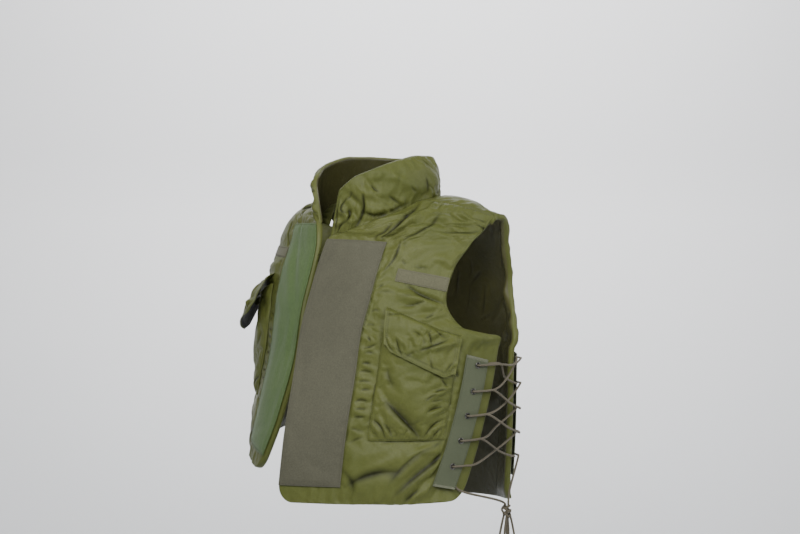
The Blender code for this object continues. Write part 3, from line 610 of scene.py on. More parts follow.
def smooth_once(piece):
    """One level of subdivision."""
    subdivision = piece.modifiers.new("Subdivision", "SUBSURF")
    subdivision.levels = 1
    subdivision.render_levels = 1


def remember_places(piece, along, rise, outer):
    """Keeps each vertex's place on its panel, and whether it is on the outer face, through subdivision."""
    layer = piece.data.attributes.new("place", "FLOAT_VECTOR", "POINT")
    layer.data.foreach_set("vector", np.stack([along, rise, outer], axis=1).ravel())


def refine(piece, creases, lining_creases=()):
    """Subdivides a settled piece once and presses sharp creases into its outer face and its lining."""
    smooth_once(piece)
    depsgraph = bpy.context.evaluated_depsgraph_get()
    depsgraph.update()
    mesh = bpy.data.meshes.new_from_object(piece.evaluated_get(depsgraph), preserve_all_data_layers=True,
                                           depsgraph=depsgraph)
    piece.modifiers.clear()
    piece.data = mesh
    place = np.empty(len(mesh.vertices) * 3)
    mesh.attributes["place"].data.foreach_get("vector", place)
    along, rise, outer = place.reshape(-1, 3).T
    normals = np.empty(len(mesh.vertices) * 3)
    mesh.vertices.foreach_get("normal", normals)
    relief = fold_relief(creases, along, rise, sharp_crease) * np.clip(outer, 0, 1)
    relief += fold_relief(lining_creases, along, rise, sharp_crease) * np.clip(-outer, 0, 1)
    move_vertices(mesh, vertex_points(mesh) + normals.reshape(-1, 3) * relief[:, None])
    # Painted shade: the creases are noted for darkening, and the lining is darkened more lower down, where
    # the inside of the vest lies in shadow.
    low_down = 1 - smooth_step(*LINING_DARKENS, rise)
    note_shade(mesh, relief - LINING_PAINTED_SHADE * low_down * np.clip(-outer, 0, 1))


def note_shade(mesh, relief):
    """Notes how deep in a sharp crease each vertex lies, as painted shade in the cloth's colour."""
    layer = mesh.attributes.new("shade", "FLOAT", "POINT")
    layer.data.foreach_set("value", np.clip(-relief / FULL_SHADE, 0, 1))


def thicken(piece, thickness, outward=True):
    solid = piece.modifiers.new("Thickness", "SOLIDIFY")
    solid.thickness = thickness
    solid.offset = 1 if outward else -1
    solid.use_even_offset = True
    edge = piece.modifiers.new("Edge", "BEVEL")
    edge.width = thickness * 0.3
    edge.segments = 2
    edge.limit_method = "ANGLE"
    edge.angle_limit = math.radians(50)


def surface_of(piece):
    bpy.context.view_layer.update()
    return BVHTree.FromObject(piece, bpy.context.evaluated_depsgraph_get())


# Materials


def node(tree, kind, **values):
    made = tree.nodes.new("ShaderNode" + kind)
    for name, value in values.items():
        if hasattr(made, name):
            setattr(made, name, value)
        else:
            made.inputs[name.replace("_", " ")].default_value = value
    return made


def new_material(name):
    material = bpy.data.materials.new(name)
    material.use_nodes = True
    return material, material.node_tree, material.node_tree.nodes["Principled BSDF"]


def mixed(tree, factor, one, other):
    """Two colours, mixed by a factor from another node."""
    mix = node(tree, "Mix", data_type="RGBA")
    mix.inputs["A"].default_value = (*one, 1)
    mix.inputs["B"].default_value = (*other, 1)
    tree.links.new(factor, mix.inputs["Factor"])
    return mix.outputs["Result"]


def stretched(tree, value, low, high, to_low=0.0, to_high=1.0):
    """A value's range from low to high, stretched to another range."""
    limits = {"From Min": low, "From Max": high, "To Min": to_low, "To Max": to_high}
    ranged = node(tree, "MapRange", **limits)
    tree.links.new(value, ranged.inputs["Value"])
    return ranged.outputs["Result"]


def noise(tree, place, **values):
    made = node(tree, "TexNoise", **values)
    tree.links.new(place, made.inputs["Vector"])
    return made


def fabric(name, colour, other, roughness, shaded=0.0, weave=0.0, crease=0.0, fuzz=0.0, sheen=0.0,
           specular=0.4, period=0.0008):
    """Cloth: two tones mixed by a soft noise, crumple, fine creases and a weave, all as bump.

    shaded is the strength of the painted shade in the depth of the modelled creases, and period is the pitch
    of the weave's threads."""
    material, tree, shader = new_material(name)
    link = tree.links.new
    place = node(tree, "TexCoord").outputs["Object"]

    tone = noise(tree, place, Scale=7.0, Detail=5.0, Roughness=0.62).outputs["Fac"]
    grain = noise(tree, place, Scale=430.0, Detail=2.0, Roughness=0.6).outputs["Fac"]
    speckle = node(tree, "Mix", data_type="RGBA", blend_type="MULTIPLY")
    speckle.inputs["Factor"].default_value = 0.25 + fuzz * 0.4
    link(mixed(tree, stretched(tree, tone, 0.34, 0.68), colour, other), speckle.inputs["A"])
    link(stretched(tree, grain, 0.3, 0.7, 0.72, 1.2), speckle.inputs["B"])
    if shaded:
        # Painted shade: the colour is darkened where the shade attribute marks the depth of a crease.
        depth = node(tree, "Attribute", attribute_name="shade")
        crease_shade_paint = node(tree, "Mix", data_type="RGBA", blend_type="MULTIPLY")
        crease_shade_paint.inputs["B"].default_value = (1 - shaded, 1 - shaded, 1 - 1.1 * shaded, 1)
        link(depth.outputs["Fac"], crease_shade_paint.inputs["Factor"])
        link(speckle.outputs["Result"], crease_shade_paint.inputs["A"])
        speckle = crease_shade_paint
    link(speckle.outputs["Result"], shader.inputs["Base Color"])
    link(stretched(tree, tone, 0.3, 0.7, roughness - 0.07, roughness + 0.09), shader.inputs["Roughness"])

    reliefs = []
    if crease:
        warp = noise(tree, place, Scale=14.0, Detail=2.0, Distortion=0.6)
        scaled = node(tree, "VectorMath", operation="SCALE", Scale=0.09)
        shifted = node(tree, "VectorMath", operation="ADD")
        link(warp.outputs["Color"], scaled.inputs[0])
        link(place, shifted.inputs[0])
        link(scaled.outputs["Vector"], shifted.inputs[1])
        warped = shifted.outputs["Vector"]
        ridges = noise(tree, warped, noise_type="RIDGED_MULTIFRACTAL", Scale=16.0, Detail=2.5, Roughness=0.55)
        crumple = noise(tree, warped, Scale=42.0, Detail=3.0, Roughness=0.5)
        reliefs += [(ridges.outputs["Fac"], 0.0011 * crease), (crumple.outputs["Fac"], 0.0016 * crease)]
    if fuzz:
        reliefs.append((grain, 0.0006 * fuzz))
    if weave:
        cloth = node(tree, "UVMap", uv_map="cloth")
        crossing = node(tree, "Math", operation="MULTIPLY")
        for k, direction in enumerate("XY"):
            wave = node(tree, "TexWave", bands_direction=direction, Scale=math.tau / 20 / period)
            link(cloth.outputs["UV"], wave.inputs["Vector"])
            link(wave.outputs["Fac"], crossing.inputs[k])
        reliefs.append((crossing.outputs["Value"], 0.00012 * weave))
    normal = None
    for height, distance in reliefs:
        bump = node(tree, "Bump", Strength=1.0, Distance=distance)
        link(height, bump.inputs["Height"])
        if normal:
            link(normal, bump.inputs["Normal"])
        normal = bump.outputs["Normal"]
    if normal:
        link(normal, shader.inputs["Normal"])
    shader.inputs["Sheen Weight"].default_value = sheen
    shader.inputs["Sheen Roughness"].default_value = 0.45
    shader.inputs["Specular IOR Level"].default_value = specular
    return material


def painted_metal(name, colour, bare):
    """Paint that has worn off in spots."""
    material, tree, shader = new_material(name)
    wear = noise(tree, node(tree, "TexCoord").outputs["Object"], Scale=420.0, Detail=3.0).outputs["Fac"]
    tree.links.new(mixed(tree, stretched(tree, wear, 0.45, 0.62), colour, bare), shader.inputs["Base Color"])
    tree.links.new(stretched(tree, wear, 0.0, 1.0, 0.28, 0.5), shader.inputs["Roughness"])
    shader.inputs["Metallic"].default_value = 0.85
    return material


NYLON = fabric("nylon", (0.103, 0.114, 0.029), (0.082, 0.095, 0.022), 0.44, shaded=0.85, weave=0.6,
               crease=0.6, specular=0.22)
# The lining: a darker, browner olive than the outside, partly its own colour and partly painted shade for the
# inside of the vest.
LINING = fabric("lining", (0.086, 0.084, 0.028), (0.064, 0.062, 0.022), 0.38, shaded=0.5, weave=0.6,
                crease=1.0)
# The facing: the nylon painted darker, as painted shade for the inside under the collar's end.
FACING_IN_PAINTED_SHADE = fabric("facing", (0.058, 0.064, 0.018), (0.042, 0.047, 0.013), 0.5, shaded=0.7, weave=0.6,
                crease=1.0, specular=0.2)
GREY = fabric("grey_pile", (0.100, 0.098, 0.067), (0.084, 0.082, 0.057), 0.9, fuzz=0.45, sheen=0.1,
              specular=0.2)
GREEN = fabric("green_hooks", (0.094, 0.149, 0.049), (0.077, 0.126, 0.043), 0.85, fuzz=1.2, sheen=0.15,
               specular=0.25)
BLACK = fabric("black_tape", (0.010, 0.012, 0.010), (0.016, 0.018, 0.014), 0.85, fuzz=1.2, sheen=0.1)
WEBBING = fabric("webbing", (0.086, 0.100, 0.052), (0.072, 0.085, 0.045), 0.62, weave=3, period=0.0013,
                 sheen=0.05)
CORD = fabric("cord", (0.125, 0.108, 0.072), (0.095, 0.082, 0.055), 0.85, fuzz=0.8, sheen=0.1)
THREAD = fabric("thread", (0.046, 0.052, 0.018), (0.036, 0.042, 0.014), 0.6)
PALE_THREAD = fabric("pale_thread", (0.34, 0.34, 0.25), (0.26, 0.26, 0.19), 0.6)
GREY_THREAD = fabric("grey_thread", (0.070, 0.066, 0.048), (0.056, 0.052, 0.038), 0.7)
TAPE_CLOTH = fabric("name_tape", (0.130, 0.128, 0.078), (0.112, 0.110, 0.068), 0.85, fuzz=0.5, sheen=0.1,
                    specular=0.2)
METAL = painted_metal("eyelet", (0.030, 0.032, 0.030), bare=(0.28, 0.27, 0.24))


# The padded panels

LEFT = Panel(LEFT_SECTIONS, side=1)
RIGHT = Panel(RIGHT_SECTIONS, side=-1)
BACK = Panel(BACK_SECTIONS, side=1, outward=-1)
lifted = [s._replace(z_out=s.z_out + RIGHT_SHOULDER_LIFT * float(smooth_step(-0.17, -0.04, s.z_out)))
          for s in BACK_SECTIONS]
BACK_RIGHT = Panel(lifted, side=-1, outward=-1)

def mouth_rise(share):
    """The pocket's mouth slopes down from its inner to its outer side."""
    return POCKET_ABOVE_HEM + POCKET_INNER_HEIGHT + (POCKET_OUTER_HEIGHT - POCKET_INNER_HEIGHT) * share


def under_pocket(along, rise):
    share = (along - POCKET_FROM_EDGE) / POCKET_WIDTH
    inside = (share > -0.012) & (share < 1.012) & (rise > POCKET_ABOVE_HEM - 0.0015)
    return inside & (rise < mouth_rise(share) - 0.004)


def under_tapes(panel, tape, along, rise):
    """True where a closure panel, name tape, pocket or lacing strip covers the cloth."""
    closure = (along < CLOSURE_WIDTH + 0.001) & (rise > CLOSURE_ABOVE_HEM - 0.001)
    closure &= rise < panel.rise_of("chest_top") - CLOSURE_BELOW_NECK + 0.001
    share = (along - tape.along) / NAME_TAPE_LENGTH
    up = rise - (tape.rise - tape.drop * share)
    label = (share > -0.02) & (share < 1.02) & (up > -0.001) & (up < NAME_TAPE_HEIGHT + 0.001)
    return closure | label | under_pocket(along, rise) | under_strip(panel, FRONT_STRIP_RISE, along, rise)


def under_strip(panel, bottom, along, rise):
    from_edge = panel.width(rise) - along
    beside = (from_edge > 0.004) & (from_edge < LACE_STRIP_FROM_EDGE + LACE_STRIP_WIDTH + 0.001)
    return beside & (rise > bottom - 0.006) & (rise < bottom + LACE_STRIP_LENGTH + 0.006)


Tape = namedtuple("Tape", "along rise drop")
LEFT_TAPE = Tape(0.150, 0.402, 0.014)
RIGHT_TAPE = Tape(0.121, 0.392, 0.000)


def front_folds(panel):
    """Folds that both fronts have, along their seams."""
    chest = panel.rise_of("chest_top")
    arm = panel.rise_of("side_top")
    inner, outer = POCKET_FROM_EDGE, POCKET_FROM_EDGE + POCKET_WIDTH
    top = panel.top
    folds = []
    edge = CLOSURE_WIDTH + 0.002
    folds += puckers((edge, 0.130), (edge, 0.330), (1, -0.08), 8, 0.040, 0.0011, 0.0060)
    folds += puckers((inner - 0.001, 0.125), (inner - 0.001, 0.320), (-1, 0.1), 6, 0.030, 0.0008, 0.0055)
    folds += puckers((outer + 0.001, 0.125), (outer + 0.001, 0.270), (1, -0.5), 8, 0.030, 0.0016, 0.0045)
    folds += puckers((0.02, top - 0.004), (0.135, top - 0.004), (0.1, -1), 11, 0.040, 0.0024, 0.0050)
    folds += puckers((edge, 0.36), (edge, chest - 0.02), (1, 0.5), 5, 0.030, 0.0014, 0.0050)
    folds += puckers((0.05, 0.004), (panel.width(0.0) - 0.05, 0.004), (0.2, 1), 12, 0.030, 0.0022, 0.0062)
    low_arm, high_arm = ((panel.width(rise) - 0.004, rise) for rise in (arm, arm + 0.05))
    return folds + puckers(low_arm, high_arm, (-1, 0.3), 4, 0.030, 0.0020)


LEFT_FOLDS = front_folds(LEFT) + folds_of(
    (1210, 4550, 480, 6550, 300, 60, 85), (1260, 4300, 1450, 5000, -80, 40, 65),
    (120, 5200, 600, 6400, 160, 45, 75), (1200, 4000, 1500, 4600, 40, 30, 55),
    (1500, 3920, 2440, 3660, 80, -45, 42), (1550, 3800, 2450, 3520, 80, 45, 90),
    (1650, 3500, 2400, 3620, -60, 32, 60), (2050, 3350, 2620, 3520, -40, 34, 55),
    (600, 5600, 1500, 5800, 100, -40, 150), (800, 6100, 1500, 6020, -120, 50, 110),
    (950, 6450, 1460, 6220, -60, 50, 70), (1100, 5900, 1650, 5600, 60, 30, 90),
    (2000, 4500, 2450, 4320, 40, 26, 70), (1500, 4400, 2350, 4700, -80, -22, 120),
    (2950, 1080, 1900, 300, -120, 50, 105), (2850, 1000, 1600, 580, -140, 46, 120),
    (3000, 850, 2150, 120, -100, 50, 90), (3000, 500, 2450, 60, -60, 44, 75),
    (2300, 1020, 1400, 800, -60, 34, 95), (1350, 1000, 1200, 300, 40, 30, 80),
    (3450, 2620, 3720, 2150, 40, 26, 60), (3000, 3000, 3450, 2720, 60, 30, 80),
)
RIGHT_FOLDS = front_folds(RIGHT) + folds_of(
    (1210, 4300, 600, 6400, 240, 55, 85), (150, 5000, 600, 6200, 160, 45, 75),
    (1300, 3800, 2200, 3500, 80, 40, 85), (1500, 3500, 2300, 3300, -60, 34, 70),
    (600, 5600, 1500, 5900, 100, -35, 140), (900, 6200, 1460, 6000, -60, 45, 80),
    (2900, 1000, 1800, 400, -120, 48, 105), (2900, 700, 2100, 150, -100, 44, 90),
    (2300, 900, 1400, 700, -60, 34, 95),
)

# Folds on one side of the back's lining and of its face, and across the middle of its face.
LINING_FOLDS = folds_of(
    (2350, 6000, 1900, 4200, 160, 60, 100), (2250, 5000, 2150, 3300, -100, 55, 110),
    (2450, 4300, 1500, 3300, 100, 45, 110), (2500, 3400, 1400, 2900, 100, 45, 120),
    (2550, 2500, 1200, 1700, 140, 45, 140), (2000, 6400, 1300, 5000, 100, 50, 130),
)
BACK_SIDE_FOLDS = folds_of(
    (400, 6200, 2000, 5000, 120, 40, 110), (300, 5600, 1900, 4400, 160, 36, 130),
    (200, 2000, 2000, 1100, 200, 36, 140), (500, 1000, 1900, 400, 160, 34, 120),
    (1000, 4000, 2100, 3300, 100, 30, 110),
)
BACK_MIDDLE_FOLDS = folds_of(
    (-1100, 6000, 1100, 6000, 200, 36, 120), (-1400, 3000, 1000, 3100, -200, 26, 140),
)
# Folds on one side of the collar, with along as a share of the way from the centre back to the front end.
COLLAR_FOLDS = folds_of(
    (9600, 600, 8400, 120, 60, 62, 75), (9000, 700, 8000, 300, -60, -52, 60),
    (9900, 300, 9000, 240, 30, 48, 55), (8600, 750, 6200, 500, 100, 40, 90),
    (8000, 400, 5800, 160, 80, 34, 80), (6000, 850, 4400, 260, 60, 34, 80),
    (4000, 800, 2600, 300, -60, 30, 85), (2000, 700, 600, 400, 40, 26, 90),
)
# Folds on a pocket and on a flap, from their own lower inner corners.
POCKET_FOLDS = folds_of(
    (260, 750, 880, 80, 60, -30, 90), (400, 1150, 1050, 200, 60, 24, 140),
    (1250, 1000, 850, 700, 40, 26, 70), (1280, 700, 900, 340, 40, 26, 65),
    (120, 400, 340, 60, 20, 26, 55), (60, 300, 220, 40, 20, 22, 45),
)
FLAP_FOLDS = folds_of(
    (620, 200, 1250, 520, 60, 44, 65), (700, 360, 1000, 740, -40, 38, 55),
    (850, 140, 960, 500, 30, -34, 50), (1000, 440, 1340, 620, 30, 34, 50),
    (200, 300, 500, 200, 30, 28, 70), (520, 500, 660, 180, 30, 30, 60),
)
RAISED_FLAP_FOLDS = folds_of(
    (300, 100, 600, 700, 60, 60, 90), (800, 80, 1000, 600, -60, -50, 90),
)

# Sharp creases, in the same form, for the finer mesh.
LEFT_CREASES = folds_of(
    (1610, 4050, 2500, 3670, -110, -30, 34), (1680, 3760, 2160, 3760, 70, -12, 40),
    (1760, 3590, 2140, 3720, -60, -22, 36), (2180, 3380, 2330, 3480, -40, -24, 30),
    (2360, 3470, 2510, 3620, 60, 18, 34), (1250, 4160, 1350, 4840, -200, -30, 34),
    (1250, 3890, 1340, 3940, 30, -16, 28), (1760, 4280, 2020, 4250, 0, -14, 40),
    (1520, 4420, 1630, 4320, -30, -16, 34), (1510, 4570, 780, 6190, -140, -26, 44),
    (950, 4740, 430, 5640, -50, -30, 34), (1100, 4740, 110, 6580, 90, -42, 50),
    (1180, 4730, 1130, 5080, -90, 24, 36), (1480, 5370, 1780, 5900, -380, -20, 90),
    (1160, 5780, 1430, 6260, -160, 30, 80), (1510, 6120, 1910, 5810, 120, -30, 32),
    (1260, 6360, 1520, 6310, 130, -20, 34), (350, 5120, 330, 5630, 70, 20, 50),
    (1190, 1340, 1450, 1260, 10, -16, 30), (1220, 1070, 1460, 1170, 40, -18, 30),
    (2900, 1070, 1980, 340, -310, -34, 95), (3030, 920, 2080, 140, -140, -32, 75),
    (2750, 420, 2410, 30, -100, 36, 55), (2670, 340, 2280, 50, -50, -34, 45),
    (1240, 320, 2130, 580, 180, -34, 90), (2860, 900, 2680, 700, 10, -26, 40),
    (2770, 1040, 2090, 610, -160, 34, 70), (2960, 750, 2700, 420, -70, -22, 34),
    (1120, 630, 1380, 140, 170, -18, 60), (1220, 2480, 1410, 2460, 20, -30, 26),
    (1210, 2330, 1440, 2310, 50, -30, 26), (1210, 2160, 1420, 2160, 30, -30, 26),
    (1290, 2010, 1450, 2020, 20, -30, 26), (1220, 1800, 1440, 1800, 70, -32, 28),
    (1250, 1670, 1440, 1670, 30, -26, 26), (1230, 1530, 1430, 1530, 0, -30, 28),
    (1250, 2650, 1430, 2620, 40, -26, 26), (1220, 2720, 1460, 2800, -20, -26, 28),
    (1260, 2960, 1330, 2840, 10, -30, 24), (1210, 3180, 1350, 3180, 70, -20, 28),
    (1230, 3450, 1370, 3470, 50, -20, 28), (2910, 2360, 2970, 2240, -20, -36, 28),
    (2880, 2040, 2800, 2010, -10, -26, 26), (2920, 1770, 2810, 1770, 30, -22, 26),
    (2900, 1530, 2830, 1430, -40, -22, 28),
)
COLLAR_CREASES = folds_of(
    (100, 720, 115, 0, 10, -34, 24), (360, 640, 390, 370, -320, -36, 34),
    (390, 420, 360, 220, 160, -62, 34), (360, 220, 180, 0, -170, -36, 34),
    (460, 240, 330, 0, 150, 40, 60), (760, 710, 550, 0, 200, -40, 44),
    (700, 280, 1180, 140, -70, -30, 40), (1000, 700, 1150, 550, -20, -30, 28),
    (1340, 430, 1520, 200, 10, -30, 28), (1120, 290, 1280, 60, 20, 24, 40),
    (610, 810, 880, 490, -10, 26, 55), (1820, 460, 1940, 300, -40, -18, 36),
    (490, 710, 330, 630, 110, -20, 32), (640, 510, 640, 220, -60, 26, 44),
    (970, 80, 1790, 160, 80, -22, 50), (2250, 520, 2220, 200, 40, -26, 50),
)
POCKET_CREASES = folds_of(
    (190, 720, 900, 40, 40, -40, 85), (40, 370, 300, 50, 90, -34, 40), (230, 330, 410, 70, 40, -28, 40),
    (160, 1290, 330, 950, -50, -18, 60), (1020, 860, 1220, 900, 40, -34, 34),
    (880, 710, 1060, 830, 20, -24, 36), (940, 510, 1200, 600, 40, -32, 34),
    (980, 80, 1200, 350, 70, -34, 36), (1110, 30, 1240, 220, 20, -28, 30),
    (1090, 1090, 1240, 950, 10, -28, 30), (510, 70, 410, 200, -30, -16, 30),
    (620, 70, 670, 200, 40, -16, 30), (960, 710, 1200, 740, -30, -20, 30),
)
FLAP_CREASES = folds_of(
    (650, 210, 1160, 600, -30, -34, 30), (270, 280, 390, 20, -80, -28, 36),
    (80, 80, 210, 40, -20, -16, 30), (640, 240, 770, 810, -20, 32, 38),
    (810, 610, 880, 400, 0, -30, 34), (740, 370, 520, 540, -110, -18, 44),
    (890, 750, 1120, 610, -90, -24, 34), (940, 810, 1160, 810, 0, -22, 34),
    (900, 190, 960, 40, -30, -20, 34), (1190, 100, 1310, 250, 10, -20, 30),
    (10, 590, 340, 770, 20, -16, 26), (420, 0, 650, 210, 30, -14, 34),
)


def seam_creases(panel):
    """The sunk lines beside what is sewn on a front, darkened with painted shade: the pocket, the closure
    panel, the lacing strip.
    """
    inner, outer = POCKET_FROM_EDGE - SEAM_SHADOW, POCKET_FROM_EDGE + POCKET_WIDTH + SEAM_SHADOW
    low, closure = POCKET_ABOVE_HEM - 0.0014, CLOSURE_WIDTH + 0.0014
    lines = [(inner, low, inner, low + 0.215, 0.0024), (outer, low, outer, low + 0.160, 0.0024),
             (inner, low, outer, low, 0.0036),
             (closure, 0.035, closure, panel.rise_of("chest_top") - CLOSURE_BELOW_NECK, 0.0026)]
    strip = LACE_STRIP_FROM_EDGE + LACE_STRIP_WIDTH + SEAM_SHADOW
    for k in range(5):
        ends = []
        for part in (k - 0.15, k + 1.15):
            rise = FRONT_STRIP_RISE + LACE_STRIP_LENGTH * part / 5
            ends += [float(panel.width(rise)) - strip, rise]
        lines.append((*ends, 0.0022))
    return [Fold(*line[:4], 0.0, -line[4], 0.0020) for line in lines]


def collar_creases():
    """The creases of the collar's left front, measured from its front end, and the same on the right."""
    end = collar_grid(LEFT, BACK, 1, 88, (0.0, 0.5, 1.0))[1]
    left = [c._replace(along_0=end - c.along_0, along_1=end - c.along_1, bow=-c.bow) for c in COLLAR_CREASES]
    right = [c._replace(along_0=-c.along_0, along_1=-c.along_1, bow=-c.bow) for c in left]
    return left + right


def scattered_creases(*spread):
    """Rumples that all go inwards."""
    return [fold._replace(height=-abs(fold.height)) for fold in rumples(*spread)]


def hang(shell, node_name, covered, pressure, growth):
    """Loosens a padded shell all over but for its rim, its lining and what is sewn over."""
    held = np.ones(len(shell.piece.data.vertices), bool)
    held[: shell.count] = covered
    held[shell.border] = True
    shell.remember(np.where(covered, 0.0, 1.0))
    make_loose(shell.piece, held, pressure, growth)
    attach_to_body(shell.piece, "root")
    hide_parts(node_name)
    return shell.piece


def front_shell(name, panel, tape, folds, cell):
    grid = panel_grid(panel, cell)
    flip = panel.side * panel.outward < 0
    shell = Shell(name + "_shell", [grid], PANEL_THICK, flip, NYLON, LINING)
    covered = under_tapes(panel, tape, shell.along, shell.rise)
    loose = rumples((0.12, 0.02), (0.36, 0.64), 30, 0.045, 0.0010, 0.008, 0.3)
    relief = fold_relief(folds + loose, shell.along, shell.rise)
    relief += random.normal(0, UNEVEN, shell.count)
    shell.shift(relief * ~covered * (0.4 + 0.6 * shell.inside_border()))
    return hang(shell, name, covered, pressure=1.6, growth=0.035)


def lining_folds():
    """The back's lining hangs in loose folds off the armholes and the sides."""
    folds = []
    for side in (-1, 1):
        folds += on_side(LINING_FOLDS, side)
    return folds + rumples((-0.22, 0.04), (0.20, 0.64), 26, 0.070, 0.0020, 0.011, 1.1)


def back_shell():
    grids = []
    for panel in (BACK_RIGHT, BACK):
        grid = panel_grid(panel, BACK_CELL, centre_is_edge=False)
        if panel.side < 0:
            grid = Grid(*[part[:, ::-1] for part in grid._replace(along=-grid.along)])
        grids.append(grid)
    shell = Shell("back_shell", grids, PANEL_THICK, True, NYLON, LINING)
    across = np.abs(shell.along)
    covered = under_strip(BACK, BACK_STRIP_RISE, across, shell.rise)
    folds, low, high = [], 0.004, BACK.top - 0.004
    for side in (-1, 1):
        middle, lean = side * 0.02, side * 0.1
        folds += puckers((middle, high), (side * 0.135, high), (lean, -1), 11, 0.045, 0.0026)
        folds += puckers((middle, low), (side * 0.23, low), (lean, 1), 11, 0.032, 0.0022, 0.0062)
        folds += puckers((side * 0.268, 0.30), (side * 0.245, 0.52), (-side, 0.3), 10, 0.040, 0.0024)
        folds += on_side(BACK_SIDE_FOLDS, side)
    folds += BACK_MIDDLE_FOLDS + rumples((-0.22, 0.03), (0.20, 0.60), 70, 0.055, 0.0013, 0.0085, 0.2)
    relief = fold_relief(folds, shell.along, shell.rise) + random.normal(0, UNEVEN, shell.count)
    shell.shift(relief * ~covered * (0.4 + 0.6 * shell.inside_border()))
    shell.shift(-fold_relief(lining_folds(), shell.along, shell.rise) * shell.inside_border(), lining=True)
    return hang(shell, "back_panel", covered, pressure=1.2, growth=0.035)


# The collar


def neck_line(panel, first_name):
    """The neckline on a panel: points of its edge, the way in, and the way to the neck."""
    first = panel.rise_of(first_name)
    rises = np.linspace(first, panel.top, 60)
    points = panel.over(0.0, rises)
    ways = panel.padding(0.0, rises)
    tangents = np.gradient(points, axis=0)
    to_neck = unit(np.cross(ways, tangents))
    away = np.sum(to_neck * (points - panel.over(0.006, rises)), axis=1)
    return np.concatenate([points, ways, to_neck * np.sign(away)[:, None]], axis=1)


def collar_grid(front, back, side, cells, climbs):
    """One side of the collar's outer face, from its front end round to the centre back."""
    line = np.concatenate([neck_line(front, "chest_top"), neck_line(back, "neck_back")[-2::-1]])
    lengths = distances(line[:, :3])
    share = np.linspace(0, 1, cells + 1)
    base = np.stack([np.interp(share * lengths[-1], lengths, c) for c in line.T], axis=1)
    here, way_in, to_neck = base[:, 0:3], unit(base[:, 3:6]), unit(base[:, 6:9])
    flat = smooth_step(0.35, 0.85, -way_in[:, 2])[:, None]
    low = here + to_neck * SEAM_GAP + way_in * (COLLAR_TUCK * flat + 0.3 * COLLAR_OVERLAP)
    low = low - unit(to_neck * (1, 1, 0.2)) * COLLAR_OVERLAP * 0.4 - np.array((0, 0, COLLAR_OVERLAP))
    knots = [c.share for c in COLLAR_TOP]
    high = np.stack([monotone(knots, [c[axis] for c in COLLAR_TOP], share) for axis in (2, 3, 4)], axis=1)
    if side < 0:
        high[:, 0] *= -1
        high += RIGHT_END_SHIFT * (1 - smooth_step(0.0, 0.3, share))[:, None]
    climb = np.asarray(climbs)[:, None, None]
    points = low[None] * (1 - climb) + high[None] * climb
    outwards = unit(points * (1, 1, 0) + (0, 0.02, 0))
    swell = COLLAR_SWELL * np.sin(math.pi * climb[..., 0]) * smooth_step(0.1, 0.4, share)[None]
    points = points + outwards * swell[..., None]
    up, around = np.gradient(points, axis=(0, 1))
    around[:, -1] = np.array((-1.0, 0, 0)) * side
    ways = unit(np.cross(up, around)) * side
    length = lengths[-1]
    along = np.broadcast_to((share * length)[None, :], points.shape[:2])
    heights = np.linalg.norm(high - low, axis=1)
    rise = climb[..., 0] * heights[None, :]
    return Grid(points, ways, along, rise), length


def collar_shell():
    climbs = np.linspace(0, 1, 25)
    right, right_length = collar_grid(RIGHT, BACK_RIGHT, -1, 88, climbs)
    left, left_length = collar_grid(LEFT, BACK, 1, 88, climbs)
    centre = (right.points[:, -1] + left.points[:, -1]) / 2 * (0, 1, 1)
    right.points[:, -1] = left.points[:, -1] = centre
    right = right._replace(along=right.along - right_length)
    left = Grid(*[part[:, ::-1] for part in left._replace(along=left_length - left.along)])
    shell = Shell("collar_shell", [right, left], COLLAR_THICK, True, NYLON, LINING)
    span = left_length
    folds = []
    for side in (-1, 1):
        end = side * span
        folds += puckers((0.0, 0.004), (end * 0.95, 0.004), (0.15, 1), 17, 0.036, 0.0024, 0.0050)
        folds += puckers((0.0, 0.092), (end * 0.80, 0.084), (0.1, -1), 12, 0.030, 0.0018, 0.0060)
        folds += on_side(COLLAR_FOLDS, side, span)
    folds += rumples((-span, 0.01), (span * 0.95, 0.085), 60, 0.032, 0.0014, 0.0058, 0.5)
    relief = fold_relief(folds, shell.along, shell.rise) + random.normal(0, UNEVEN, shell.count)
    shell.shift(relief * (0.3 + 0.7 * shell.inside_border()))
    return hang(shell, "collar", np.zeros(shell.count, bool), pressure=1.6, growth=0.045)


# Sheets sewn to the panels


def sheet_grid(name, panel, place, across, up, material):
    """An open sheet: place(share, climb) gives (along, rise, lift) arrays over the unit square."""
    share, climb = np.meshgrid(np.linspace(0, 1, across + 1), np.linspace(0, 1, up + 1))
    along, rise, lift = place(share, climb)
    points = panel.over(along, rise, lift)
    quads = grid_quads(np.arange(points.shape[0] * points.shape[1]).reshape(points.shape[:2]))
    if panel.side * panel.outward < 0:
        quads = [q[::-1] for q in quads]
    piece = new_piece(name, points.reshape(-1, 3), quads, material)
    lay_cloth_map(piece, along.ravel(), rise.ravel())
    return piece, share.ravel(), climb.ravel()


def attach(piece, node_name):
    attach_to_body(piece, "root")
    if node_name:
        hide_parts(node_name)


CLOSURE_FOLDS = folds_of(
    (850, 4500, 140, 3000, 200, -22, 130), (140, 3000, 180, 1500, 40, -18, 100),
    (1000, 4000, 400, 2800, -160, 16, 140), (600, 3300, 720, 600, 120, 12, 200),
    (360, 2000, 300, 400, -60, -12, 120), (300, 800, 1050, 460, 60, -12, 100),
    (740, 4660, 700, 4400, 20, -14, 50),
)


